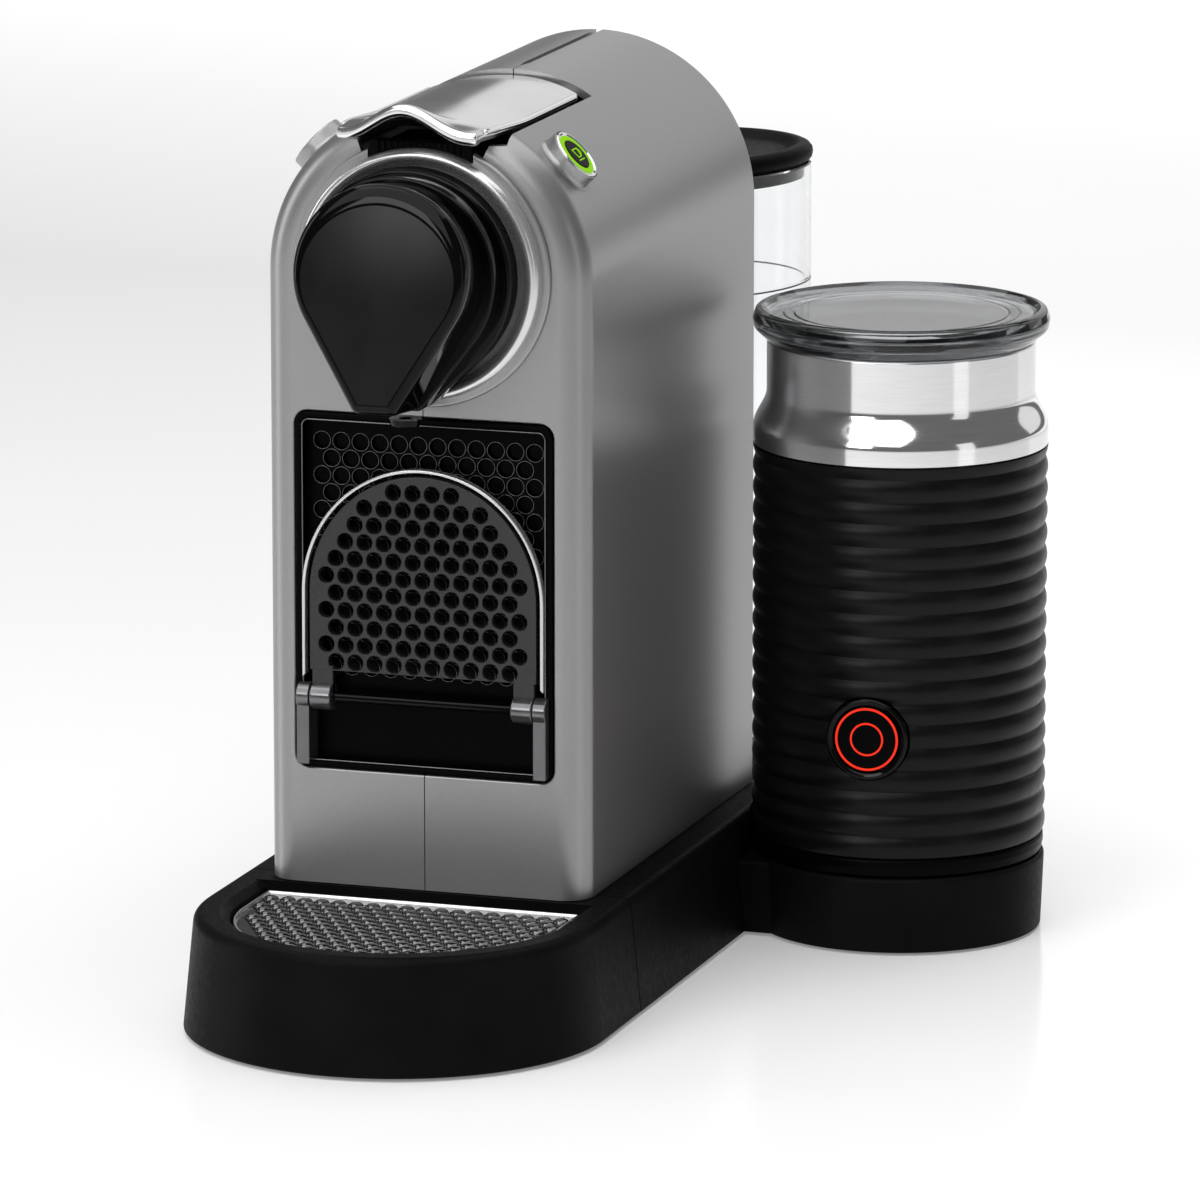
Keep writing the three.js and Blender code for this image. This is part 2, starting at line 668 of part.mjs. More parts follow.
const pumpAt = (shape) => shape.translate([PUMP_X, PUMP_Y, 0]);
const pumpBody = joined(disc(11.5, 60, 150, 28), disc(17, 78, 132, 28), disc(4, 54, 154, 16));
add("pump", pumpAt(pumpBody), steel);
for (const [name, z] of [["lower", 66], ["upper", 140]]) {
  add(`pump_mount_${name}`, pumpAt(washer(11.8, 14.9, z - 1, z + 5, 28)), rubber);
}
const heaterFins = [-20, -10, 0, 10, 20].map((x) => block(x - 1.5, x + 1.5, -37, 14, 196, 236));
const heater = joined(
  block(-28, 28, -34, 10, 200, 232),
  block(-24, 24, -30, 6, SHELF_TOP + GAP, 204),
  ...heaterFins,
);
add("thermoblock", heater.subtract(rod([PUMP_X, PUMP_Y, 180], [PUMP_X, PUMP_Y, 198], 3)), steel);
add("flow_meter", joined(disc(13, 40.2, 56, 24), disc(4, 50, 62, 12)).translate([24, -20, 0]), matteBlack);
const parts = [[-34, 96, 12], [-12, 92, 9], [-30, 130, 7], [-8, 150, 10]];
const board = joined(
  block(44, 45.6, -41, 14, 84, 182),
  ...parts.map(([y, z, reach]) => block(45 - reach, 45, y, y + 14, z, z + 18)),
);
add("control_board", board, boardGreen);

const suctionRoute = [
  [0, DOCK_Y, 21.6],
  [-1, DOCK_Y - 5, 15],
  [-5, 38, 11.5],
  [-13, 0, 12],
  [PUMP_X, PUMP_Y + 1, 22],
  [PUMP_X, PUMP_Y, 40],
  [PUMP_X, PUMP_Y, 53.6],
];
add("suction_hose", hose(suctionRoute, 2.6), rubber);
const pressureRoute = [154.4, 165, 176, 186, 197].map((z) => [PUMP_X, PUMP_Y, z]);
add("pressure_hose", hose(pressureRoute, 2.2), clearPlastic);

// ---------------------------------------------------------------- used-capsule bin and pocket
function capsuleContainer() {
  const outer = block(-40, 40, -143.7, BIN_REAR, 76, 178);
  const inner = block(-38, 38, -141.7, BIN_REAR - 2, 78, 190);
  return outer.subtract(inner);
}
add("capsule_container", capsuleContainer(), matteBlack);

function hingeLug(side) {
  const x0 = Math.min(side * 36, side * 40);
  const leg = block(x0, x0 + 4, HINGE_Y - 3.2, POCKET_FLOOR_Y + 1, 74.5, HINGE_HEIGHT);
  const eye = rod([x0, HINGE_Y, HINGE_HEIGHT], [x0 + 4, HINGE_Y, HINGE_HEIGHT], HINGE_RADIUS, 20);
  return joined(leg, eye);
}

function pocketPanel() {
  const outline = roundedRectangle(-POCKET_HALF, POCKET_HALF, POCKET_BOTTOM, POCKET_TOP, 4);
  const recess = roundedRectangle(
    2 - POCKET_HALF,
    POCKET_HALF - 2,
    POCKET_BOTTOM + 2,
    POCKET_TOP - 2,
    2.5,
  );
  const tray = prismY(outline, FRONT_Y - 0.2, -144, 0, 6).subtract(
    prismY(recess, FRONT_Y - 2, POCKET_FLOOR_Y, 0, 6),
  );
  const pinHole = rod([-39, HINGE_Y, HINGE_HEIGHT], [39, HINGE_Y, HINGE_HEIGHT], 1.8, 16);
  return joined(tray, hingeLug(-1), hingeLug(1)).subtract(pinHole);
}
add("pocket_panel", pocketPanel(), glossBlack);
const hingePin = rod([-38.6, HINGE_Y, HINGE_HEIGHT], [38.6, HINGE_Y, HINGE_HEIGHT], 1.5, 16);
add("cup_support_pin", hingePin, steel);

// Outline of the cup support: flat bottom, round top, shrunk by inset.
function supportShape(inset) {
  const half = SUPPORT_HALF - inset;
  const shape = new THREE.Shape();
  shape.moveTo(half, SUPPORT_BOTTOM + inset);
  shape.lineTo(half, 128);
  shape.absellipse(0, 128, half, SUPPORT_TOP - 128 - inset, 0, Math.PI, false);
  shape.lineTo(-half, SUPPORT_BOTTOM + inset);
  return shape;
}

function cupSupport() {
  const plate = prismY(supportShape(2.3 + GAP), -152.4, -149.8, 0, 12);
  const barrels = [-1, 1].map((side) => {
    const eye = [side * 29, HINGE_Y, HINGE_HEIGHT];
    const drum = rod(eye, [side * 35.7, HINGE_Y, HINGE_HEIGHT], HINGE_RADIUS, 20);
    const x0 = Math.min(side * 29, side * 35.7);
    return joined(drum, block(x0, x0 + 6.7, -152.4, -149.8, HINGE_HEIGHT, SUPPORT_BOTTOM + 4));
  });
  const pinHole = rod([-39, HINGE_Y, HINGE_HEIGHT], [39, HINGE_Y, HINGE_HEIGHT], 1.8, 16);
  return joined(plate, ...barrels).subtract(pinHole);
}
add("cup_support", cupSupport(), darkGrey);
const supportRim = prismY(supportShape(0), -153, -149.2, 0, 12).subtract(
  joined(
    prismY(supportShape(2.3), -155, -148, 0, 12),
    block(-36.1, 36.1, -155, -148, 95, 110),
  ),
);
add("cup_support_rim", supportRim, chrome);

// ---------------------------------------------------------------- drip tray and grid
// Plan of the tray's cavity: half-round front, open back at y = back.
function trayPlan(radius, back) {
  const front = arc(0, BASE_FRONT_CENTRE, radius, Math.PI, 2 * Math.PI, 16);
  return new THREE.Shape([...front, new THREE.Vector2(radius, back), new THREE.Vector2(-radius, back)]);
}

const GRID_BACK = -152.2;
const trayFront = block(-90, 90, -260, BASE_SEAM - GAP, 0, 60);
const tray = baseOuter()
  .intersect(trayFront)
  .subtract(joined(prismZ(trayPlan(51, GRID_BACK), 30.6, 50), prismZ(trayPlan(47, GRID_BACK - 3), 5, 50)));
add("drip_tray", tray, matteBlack);

function dripGrid() {
  const plate = prismZ(trayPlan(50.5, GRID_BACK - 0.4), 30.9, 33.4);
  const slots = [];
  for (let x = -36; x <= 36; x += 8) {
    const reach = Math.sqrt(43 * 43 - x * x);
    slots.push(block(x - 2, x + 2, BASE_FRONT_CENTRE - reach, GRID_BACK - 7, 25, 40));
  }
  return plate.subtract(joined(...slots));
}
add("drip_grid", dripGrid(), chrome);

// ---------------------------------------------------------------- water dock and tank
const dock = ring([[5.4, 21.9], [8, 21.9], [8, 36], [6.9, 36], [6.9, 33], [5.4, 33]], 24);
add("tank_dock", dock.translate([0, DOCK_Y, 0]), matteBlack);
add("dock_seal", washer(5.4, 6.6, 33.3, 35.6, 24).translate([0, DOCK_Y, 0]), rubber);

// Plan of the tank: a half-round front and round rear corners, grown by spread.
function tankPlan(spread) {
  const rear = TANK_REAR_RADIUS + spread;
  const rearX = TANK_HALF - TANK_REAR_RADIUS;
  const step = Math.PI / 20;
  return new THREE.Shape([
    ...arc(rearX, TANK_MIDDLE_Y, rear, 0, Math.PI / 2, 6),
    ...arc(-rearX, TANK_MIDDLE_Y, rear, Math.PI / 2, Math.PI, 6),
    ...arc(0, TANK_MIDDLE_Y, TANK_HALF + spread, Math.PI + step, 2 * Math.PI - step, 18),
  ]);
}

const tankBody = prismZ(tankPlan(0), TANK_BOTTOM, TANK_TOP).subtract(
  joined(
    prismZ(tankPlan(-TANK_WALL), TANK_BOTTOM + 3, TANK_TOP + 5),
    rod([0, DOCK_Y, 30], [0, DOCK_Y, 50], 7.3),
  ),
);
add("water_tank", tankBody, clearPlastic);
const valve = turned([[0, 33], [4.6, 33], [4.6, 37.2], [7, 37.8], [7, 47], [3, 52], [0, 52]], 24);
add("tank_valve", valve.translate([0, DOCK_Y, 0]), matteBlack);

const lidPlate = joined(
  prismZ(tankPlan(0.6), TANK_TOP + GAP, TANK_LID_TOP),
  prismZ(tankPlan(-TANK_WALL - 0.5), TANK_TOP - 4.5, TANK_TOP + 2),
).subtract(
  joined(
    prismZ(tankPlan(-7), TANK_LID_TOP - 2.2, TANK_LID_TOP + 5),
    prismZ(tankPlan(-TANK_WALL - 3), TANK_TOP - 10, TANK_TOP + 1.4),
  ),
);
add("tank_lid", lidPlate, matteBlack);

// ---------------------------------------------------------------- milk frother
const frother = new THREE.Group();
frother.position.set(FROTHER_X, 0, 0);
object.add(frother);

add("frother_dock", turned([[0, 24.4], [12, 24.4], [12, 28], [7, 30], [0, 30]], 28), glossBlack, frother);
const jugBottom = turned([
  [0, 32],
  [13.5, 32],
  [13.5, 24.6],
  [45, 24.6],
  [45.9, 25.4],
  [45.9, 30.2],
  [42.8, 30.4],
  [42.8, 36],
  [0, 36],
], 36);
add("jug_bottom", jugBottom, glossBlack, frother);
add("frother_motor", joined(disc(15, 36.3, 62, 28), disc(30, 58, 67, 32)), steel, frother);

const buttonDirection = [Math.sin(JUG_BUTTON_TURN), -Math.cos(JUG_BUTTON_TURN)];

function jugButtonBar(from, to, radius, sides = 20) {
  const at = (reach) => [buttonDirection[0] * reach, buttonDirection[1] * reach, JUG_BUTTON_HEIGHT];
  return rod(at(from), at(to), radius, sides);
}

const sleeve = washer(43.2, JUG_RADIUS, SLEEVE_BOTTOM, SLEEVE_TOP, 36);
add("jug_sleeve", sleeve.subtract(jugButtonBar(38, 50, 13.3)), matteBlack, frother);
const bezel = jugButtonBar(41, 47.6, 13).subtract(jugButtonBar(38, 50, 10.8));
add("jug_button_bezel", bezel, glossBlack, frother);
add("jug_button", jugButtonBar(42, 47.2, 10.4), litRed, frother);

const vessel = turned([
  [0, 70],
  [38.5, 70],
  [38.5, 150],
  [42.6, 152],
  [42.6, SLEEVE_TOP + GAP],
  [JUG_RADIUS, SLEEVE_TOP + GAP],
  [JUG_RADIUS, 161],
  [44.6, 165],
  [NECK_RADIUS, 168.5],
  [NECK_RADIUS, NECK_TOP],
  [39.8, NECK_TOP],
  [39.8, 167],
  [36.8, 156],
  [36.8, 73],
  [0, 73],
], 36);
add("jug_vessel", vessel, chrome, frother);
const whiskBody = joined(
  disc(3.4, 73.4, 86, 16),
  washer(8.4, 11.4, 76, 79, 24),
  block(-10, 10, -1, 1, 76.6, 78.4),
  block(-1, 1, -10, 10, 76.6, 78.4),
);
add("whisk", whiskBody, steel, frother);

const lidBody = turned([
  [0, 193.4],
  [34.6, 193.4],
  [34.6, 181.4],
  [37, 181.4],
  [37, 188.2],
  [43, 188.2],
  [46.3, 192],
  [46.7, 194.5],
  [45.4, LID_TOP - 0.2],
  [43.6, LID_TOP],
  [41.4, 196.4],
  [0, 195.6],
], 36);
add("jug_lid", lidBody, smokyPlastic, frother);
add("jug_lid_seal", washer(37.3, 39.5, 182.4, 186, 28), rubber, frother);

// ---------------------------------------------------------------- origin at the box's bottom centre
const part = new THREE.Group();
object.position.set(-(BOX_LEFT + BOX_RIGHT) / 2, -(BOX_FRONT + BOX_REAR) / 2, 0);
part.add(object);

export default part;
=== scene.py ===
import math

import bmesh
import bpy
from mathutils import Matrix, Vector


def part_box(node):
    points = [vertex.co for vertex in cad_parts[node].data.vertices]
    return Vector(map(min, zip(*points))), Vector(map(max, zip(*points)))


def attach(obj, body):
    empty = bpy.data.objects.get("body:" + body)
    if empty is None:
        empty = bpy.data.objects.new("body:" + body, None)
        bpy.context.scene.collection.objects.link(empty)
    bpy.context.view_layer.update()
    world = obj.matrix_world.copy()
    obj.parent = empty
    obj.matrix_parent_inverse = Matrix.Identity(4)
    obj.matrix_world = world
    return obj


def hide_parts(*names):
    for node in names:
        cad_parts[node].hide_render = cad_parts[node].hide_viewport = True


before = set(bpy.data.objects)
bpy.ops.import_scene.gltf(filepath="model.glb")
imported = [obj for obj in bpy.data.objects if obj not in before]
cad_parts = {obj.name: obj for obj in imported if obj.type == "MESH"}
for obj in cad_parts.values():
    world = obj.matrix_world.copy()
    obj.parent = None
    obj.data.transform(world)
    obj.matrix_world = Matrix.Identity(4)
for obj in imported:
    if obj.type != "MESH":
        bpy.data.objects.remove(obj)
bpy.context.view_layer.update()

# ------------------------------------------------------------------ places and driving sizes
# Pieces are drawn in millimetres about the machine: x = 0 is its middle plane, y = 0 runs through
# the frother's axis, z = 0 is the table. TO_FRAME carries a finished mesh into the shared frame.
MM = 0.001
shell_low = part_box("housing_left")[0]
shell_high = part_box("housing_right")[1]
jug_low, jug_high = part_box("jug_sleeve")
MIDDLE = (shell_low.x + shell_high.x) / 2
AXIS_Y = (jug_low.y + jug_high.y) / 2
TO_FRAME = Matrix.Translation((MIDDLE, AXIS_Y, 0)) @ Matrix.Scale(MM, 4)
FROTHER_X = ((jug_low.x + jug_high.x) / 2 - MIDDLE) / MM
JUG_RADIUS = (jug_high.x - jug_low.x) / 2 / MM
HALF_WIDTH = (shell_high.x - shell_low.x) / 2 / MM
FRONT_Y = (shell_low.y - AXIS_Y) / MM
REAR_Y = (shell_high.y - AXIS_Y) / MM
HOUSING_BOTTOM = shell_low.z / MM
ARCH_CENTRE = shell_high.z / MM - HALF_WIDTH
BASE_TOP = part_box("drip_tray")[1].z / MM
HEAD_CENTRE = 228.0
GAP = 0.3

scene = bpy.context.scene

# ------------------------------------------------------------------ camera
CAMERA_AT = (929.6, -2818.1, 729.9)
CAMERA_AZIMUTH = 18.131
CAMERA_PITCH = 12.046
CAMERA_LENS = 285.5


def make_camera():
    data = bpy.data.cameras.new("camera")
    data.lens = CAMERA_LENS
    data.sensor_width = 36.0
    data.clip_start = 0.05
    data.clip_end = 60.0
    camera = bpy.data.objects.new("camera", data)
    camera.location = TO_FRAME @ Vector(CAMERA_AT)
    camera.rotation_euler = (math.radians(90 - CAMERA_PITCH), 0, math.radians(CAMERA_AZIMUTH))
    scene.collection.objects.link(camera)
    scene.camera = camera


make_camera()


# ------------------------------------------------------------------ materials
class Look:
    """A Principled material whose tone, roughness and surface come from procedural noise."""

    def __init__(self, name, color, roughness, metallic=0.0):
        self.material = bpy.data.materials.new(name)
        self.material.use_nodes = True
        self.tree = self.material.node_tree
        self.shader = self.tree.nodes["Principled BSDF"]
        self.color = color
        self.roughness = roughness
        self.shader.inputs["Metallic"].default_value = metallic
        self.place = self.tree.nodes.new("ShaderNodeTexCoord").outputs["Object"]

    def link(self, output, socket):
        self.tree.links.new(output, socket)

    def noise(self, scale, detail, stretch):
        node = self.tree.nodes.new("ShaderNodeTexNoise")
        node.inputs["Scale"].default_value = scale
        node.inputs["Detail"].default_value = detail
        place = self.place
        if stretch:
            mapping = self.tree.nodes.new("ShaderNodeMapping")
            mapping.inputs["Scale"].default_value = stretch
            self.link(place, mapping.inputs["Vector"])
            place = mapping.outputs["Vector"]
        self.link(place, node.inputs["Vector"])
        return node.outputs["Fac"]

    def tone(self, scale, spread, stretch=None):
        """Colour that wanders by spread either side of the base colour."""
        ramp = self.tree.nodes.new("ShaderNodeValToRGB")
        for element, share, place in zip(ramp.color_ramp.elements, (1 - spread, 1 + spread), (0.3, 0.7)):
            element.color = (*(min(1.0, c * share) for c in self.color), 1.0)
            element.position = place
        self.link(self.noise(scale, 4.0, stretch), ramp.inputs["Fac"])
        self.link(ramp.outputs["Color"], self.shader.inputs["Base Color"])
        return self

    def gloss(self, scale, spread, stretch=None):
        """Roughness that wanders by spread either side of the base roughness."""
        node = self.tree.nodes.new("ShaderNodeMapRange")
        node.inputs["From Min"].default_value = 0.3
        node.inputs["From Max"].default_value = 0.7
        node.inputs["To Min"].default_value = max(0.0, self.roughness - spread)
        node.inputs["To Max"].default_value = self.roughness + spread
        self.link(self.noise(scale, 3.0, stretch), node.inputs["Value"])
        self.link(node.outputs["Result"], self.shader.inputs["Roughness"])
        return self

    def grain(self, scale, height, stretch=None):
        """Fine relief, height in millimetres."""
        bump = self.tree.nodes.new("ShaderNodeBump")
        bump.inputs["Distance"].default_value = height * MM
        self.link(self.noise(scale, 3.0, stretch), bump.inputs["Height"])
        self.link(bump.outputs["Normal"], self.shader.inputs["Normal"])
        return self

    def set(self, **values):
        for name, value in values.items():
            self.shader.inputs[name.replace("_", " ")].default_value = value
        return self


WHITE = (1.0, 1.0, 1.0, 1.0)
LOOKS = {}


def look(name, color, roughness, metallic=0.0):
    LOOKS[name] = Look(name, color, roughness, metallic)
    return LOOKS[name]


look("silver", (0.3, 0.3, 0.303), 0.34, 0.8).tone(1800, 0.03).gloss(900, 0.015).grain(2600, 0.003)
LOOKS["silver"].set(Specular_IOR_Level=0.3)
look("black", (0.004, 0.004, 0.0045), 0.45).tone(60, 0.2).gloss(500, 0.06).grain(1800, 0.015)
LOOKS["black"].set(Specular_IOR_Level=0.035)
look("gloss_black", (0.0012, 0.0012, 0.0014), 0.07).tone(40, 0.25).gloss(60, 0.025).grain(90, 0.003)
LOOKS["gloss_black"].set(Specular_IOR_Level=0.14)
look("panel_black", (0.001, 0.001, 0.0012), 0.3).tone(40, 0.25).gloss(60, 0.04).grain(900, 0.004)
LOOKS["panel_black"].set(Specular_IOR_Level=0.03)
look("face_black", (0.003, 0.003, 0.0033), 0.3).tone(40, 0.25).gloss(60, 0.03).grain(900, 0.003)
LOOKS["face_black"].set(Specular_IOR_Level=0.2)
look("smoked_metal", (0.13, 0.13, 0.135), 0.2, 0.8).tone(200, 0.1).gloss(200, 0.04).grain(700, 0.004)
look("satin_chrome", (0.62, 0.62, 0.63), 0.22, 0.75).tone(60, 0.04).gloss(90, 0.03).grain(90, 0.002)
look("lever_chrome", (0.72, 0.72, 0.73), 0.17, 1.0).tone(30, 0.03).gloss(70, 0.02).grain(60, 0.002)
look("dark_grey", (0.018, 0.018, 0.019), 0.3, 0.2).tone(300, 0.12).gloss(300, 0.05).grain(1500, 0.006)
look("chrome", (0.80, 0.80, 0.81), 0.05, 1.0).tone(30, 0.03).gloss(70, 0.025).grain(60, 0.002)
look("dark_chrome", (0.12, 0.12, 0.123), 0.12, 1.0).tone(60, 0.1).gloss(90, 0.03).grain(90, 0.003)
look("steel", (0.5, 0.5, 0.51), 0.34, 1.0).tone(120, 0.1, stretch=(1, 1, 12)).gloss(200, 0.08)
LOOKS["steel"].grain(400, 0.01, stretch=(1, 1, 10))
look("polished_steel", (0.78, 0.78, 0.79), 0.10, 1.0).tone(90, 0.04, stretch=(1, 1, 25))
LOOKS["polished_steel"].gloss(160, 0.03, stretch=(1, 1, 30)).grain(200, 0.0015, stretch=(1, 1, 30))
look("ribbed_black", (0.003, 0.003, 0.0033), 0.34).tone(80, 0.2).gloss(300, 0.05).grain(1400, 0.006)
LOOKS["ribbed_black"].set(Specular_IOR_Level=0.14)
look("rubber", (0.02, 0.02, 0.02), 0.85).tone(200, 0.2).gloss(300, 0.08).grain(900, 0.04)
look("grey_plastic", (0.2, 0.205, 0.21), 0.55).tone(200, 0.1).gloss(300, 0.06).grain(1200, 0.02)
look("board", (0.02, 0.16, 0.06), 0.45).tone(700, 0.35).gloss(300, 0.1).grain(600, 0.05)
look("clear_plastic", (0.97, 0.98, 0.985), 0.03).tone(20, 0.012).gloss(40, 0.02).grain(30, 0.004)
LOOKS["clear_plastic"].set(Transmission_Weight=1.0, IOR=1.42)
look("smoky_plastic", (0.27, 0.28, 0.29), 0.05).tone(20, 0.03).gloss(40, 0.02).grain(30, 0.004)
LOOKS["smoky_plastic"].set(Transmission_Weight=1.0, IOR=1.4)
look("green_ring", (0.06, 0.16, 0.003), 0.6).tone(300, 0.08).gloss(200, 0.05).set(
    Specular_IOR_Level=0.05, Emission_Color=(0.3, 0.72, 0.005, 1.0), Emission_Strength=0.7)
look("red_ring", (0.3, 0.01, 0.006), 0.5).tone(300, 0.08).gloss(200, 0.05).set(
    Specular_IOR_Level=0.05, Emission_Color=(1.0, 0.04, 0.015, 1.0), Emission_Strength=0.8)


# ------------------------------------------------------------------ outlines
def smoothstep(low, high, value):
    t = min(1.0, max(0.0, (value - low) / (high - low)))
    return t * t * (3 - 2 * t)


def polygon(*corners):
    return [Vector(corner) for corner in corners]


def rounded(corners, open_ends=False):
    """Points of an outline whose corners, (x, y, radius), are rounded by arcs."""
    points = []
    count = len(corners)
    for i, (x, y, radius) in enumerate(corners):
        here = Vector((x, y))
        if radius <= 0 or (open_ends and i in (0, count - 1)):
            points.append(here)
            continue
        before = (Vector(corners[i - 1][:2]) - here).normalized()
        after = (Vector(corners[(i + 1) % count][:2]) - here).normalized()
        half = before.angle(after) / 2
        centre = here + (before + after).normalized() * (radius / math.sin(half))
        reach = radius / math.tan(half)
        first = here + before * reach - centre
        last = here + after * reach - centre
        start = math.atan2(first.y, first.x)
        turn = math.remainder(math.atan2(last.y, last.x) - start, 2 * math.pi)
        steps = max(2, math.ceil(abs(turn) / math.radians(12)))
        for k in range(steps + 1):
            angle = start + turn * k / steps
            points.append(centre + Vector((math.cos(angle), math.sin(angle))) * radius)
    return points


def rounded_box(x0, x1, y0, y1, radius):
    return rounded([(x0, y0, radius), (x1, y0, radius), (x1, y1, radius), (x0, y1, radius)])


def arc(x, y, radius, start, end, steps):
    """Points from angle start to angle end, in degrees."""
    angles = (math.radians(start + (end - start) * i / steps) for i in range(steps + 1))
    return [Vector((x + radius * math.cos(a), y + radius * math.sin(a))) for a in angles]


def circle(x, y, radius, steps=64):
    return arc(x, y, radius, 0, 360, steps)[:-1]


def shrunk(points, inset):
    """The closed, anticlockwise outline moved inwards by inset."""
    moved = []
    for i, here in enumerate(points):
        ahead = (points[(i + 1) % len(points)] - here).normalized()
        behind = (here - points[i - 1]).normalized()
        along = (ahead + behind).normalized()
        reach = inset / max(0.4, along.dot(ahead))
        moved.append(here + Vector((-along.y, along.x)) * reach)
    return moved


def hexagons(pitch, keep_if, x_reach, low, high, offset=0.0):
    """Centres of a hexagonal pattern of the given pitch that satisfy keep_if(x, y)."""
    centres = []
    for row in range(math.ceil((high - low) / (pitch * 0.866)) + 1):
        y = high - row * pitch * 0.866
        shift = pitch / 2 * (row % 2) + offset
        count = math.ceil(x_reach / pitch) + 1
        centres += [(shift + pitch * i, y) for i in range(-count, count + 1)]
    return [(x, y) for x, y in centres if keep_if(x, y)]


# ------------------------------------------------------------------ meshes
def as_object(name, bm):
    bmesh.ops.remove_doubles(bm, verts=bm.verts, dist=1e-4)
    bmesh.ops.recalc_face_normals(bm, faces=bm.faces)
    mesh = bpy.data.meshes.new(name)
    bm.to_mesh(mesh)
    bm.free()
    made = bpy.data.objects.new(name, mesh)
    scene.collection.objects.link(made)
    return made


def add_skin(bm, rows, next_rows):
    """Faces between each row of vertices and the one it is paired with."""
    for low, high in zip(rows, next_rows):
        for i in range(len(low)):
            j = (i + 1) % len(low)
            bm.faces.new((low[i], low[j], high[j], high[i]))


def add_loft(bm, rings):
    """Skins rings of equal length and caps both ends."""
    rows = [[bm.verts.new(p) for p in ring] for ring in rings]
    add_skin(bm, rows, rows[1:])
    bm.faces.new(rows[0][::-1])
    bm.faces.new(rows[-1])


def loft(name, rings):
    bm = bmesh.new()
    add_loft(bm, rings)
    return as_object(name, bm)


def band(name, rings):
    """A closed loop of material: rings skinned as a loft is, the last one back to the first."""
    bm = bmesh.new()
    rows = [[bm.verts.new(p) for p in ring] for ring in rings]
    add_skin(bm, rows, rows[1:] + rows[:1])
    return as_object(name, bm)


LIFTS = {
    "x": lambda p, depth: (depth, p.x, p.y),
    "y": lambda p, depth: (p.x, depth, p.y),
    "z": lambda p, depth: (p.x, p.y, depth),
}


def rim(edge, steps=4):
    """(depth, inset) of the sections that round a rim; a negative edge flares it instead."""
    if not edge:
        return [(0, 0)]
    angles = [math.pi / 2 * k / steps for k in range(steps + 1)]
    return [(abs(edge) * (1 - math.cos(a)), edge * (1 - math.sin(a))) for a in angles]


def add_slab(bm, points, low, high, edge=0.0, axis="z"):
    """An outline carried from low to high along an axis."""
    lift = LIFTS[axis]
    sections = [(low + depth, inset) for depth, inset in rim(edge)]
    sections += [(high - depth, inset) for depth, inset in reversed(rim(edge))]
    add_loft(bm, [[lift(p, level) for p in shrunk(points, inset)] for level, inset in sections])


def slab(name, points, low, high, edge=0.0, axis="z"):
    bm = bmesh.new()
    add_slab(bm, points, low, high, edge, axis)
    return as_object(name, bm)


def box(name, x, y, z, edge=0.0):
    """A block between pairs of limits."""
    return slab(name, polygon((x[0], y[0]), (x[1], y[0]), (x[1], y[1]), (x[0], y[1])), z[0], z[1], edge)


def add_lathe(bm, outline, steps=128, closed=False, place=None):
    """An outline of (radius, height) turned about Z, then moved by place."""
    rings = []
    for radius, height in outline:
        around = 1 if radius < 1e-6 else steps
        angles = (2 * math.pi * i / steps for i in range(around))
        rings.append([bm.verts.new((radius * math.cos(a), radius * math.sin(a), height)) for a in angles])
    for low, high in zip(rings, rings[1:] + rings[:1] if closed else rings[1:]):
        for i in range(steps):
            j = (i + 1) % steps
            corners = (low[i % len(low)], low[j % len(low)], high[j % len(high)], high[i % len(high)])
            unique = list(dict.fromkeys(corners))
            if len(unique) > 2:
                bm.faces.new(unique)
    if place is not None:
        bmesh.ops.transform(bm, matrix=place, verts=[v for ring in rings for v in ring])


def lathe(name, outline, steps=128, closed=False, place=None):
    bm = bmesh.new()
    add_lathe(bm, outline, steps, closed, place)
    return as_object(name, bm)


def section(*corners):
    """A closed lathe section from corners (radius, height, rounding)."""
    return [(p.x, p.y) for p in rounded(corners)]


def profile(*corners):
    """An open lathe profile from corners (radius, height, rounding)."""
    return [(p.x, p.y) for p in rounded(corners, open_ends=True)]


def facing(origin, direction, up=(0, 0, 1)):
    """Matrix whose local Z points along direction, from origin."""
    z = Vector(direction).normalized()
    x = Vector(up).cross(z).normalized()
    turn = Matrix((x, z.cross(x), z)).transposed().to_4x4()
    return Matrix.Translation(origin) @ turn


def at(x, y, z=0.0):
    return Matrix.Translation((x, y, z))


def add_tube(bm, points, radius, sides=16):
    """A tube of given radius along points, closed by rounded ends."""
    path = [Vector(p) for p in points]
    side = (path[1] - path[0]).orthogonal().normalized()
    rings = []
    for i, here in enumerate(path):
        along = (path[min(i + 1, len(path) - 1)] - path[max(i - 1, 0)]).normalized()
        side = (side - along * side.dot(along)).normalized()
        other = along.cross(side)
        steps = [(0, 1)]
        if i == 0:
            steps = [(-0.9, 0.4), (-0.5, 0.85), (0, 1)]
        elif i == len(path) - 1:
            steps = [(0, 1), (0.5, 0.85), (0.9, 0.4)]
        for reach, width in steps:
            centre = here + along * reach * radius
            turns = (2 * math.pi * k / sides for k in range(sides))
            spokes = (side * math.cos(a) + other * math.sin(a) for a in turns)
            rings.append([centre + spoke * width * radius for spoke in spokes])
    add_loft(bm, rings)


def bake(target):
    """Applies every modifier of target to its mesh."""
    graph = bpy.context.evaluated_depsgraph_get()
    graph.update()
    mesh = bpy.data.meshes.new_from_object(target.evaluated_get(graph))
    target.modifiers.clear()
    target.data = mesh


def combine(target, cutters, operation):
    for cutter in cutters:
        modifier = target.modifiers.new("combine", "BOOLEAN")
        modifier.operation = operation
        modifier.solver = "EXACT"
        modifier.object = cutter
    bake(target)
    for cutter in cutters:
        bpy.data.objects.remove(cutter)
    return target


def cut(target, *cutters):
    return combine(target, cutters, "DIFFERENCE")


def keep(target, *cutters):
    return combine(target, cutters, "INTERSECT")


def weld(target, *others):
    return combine(target, others, "UNION")


def copy_of(source, name):
    made = bpy.data.objects.new(name, source.data.copy())
    scene.collection.objects.link(made)
    return made


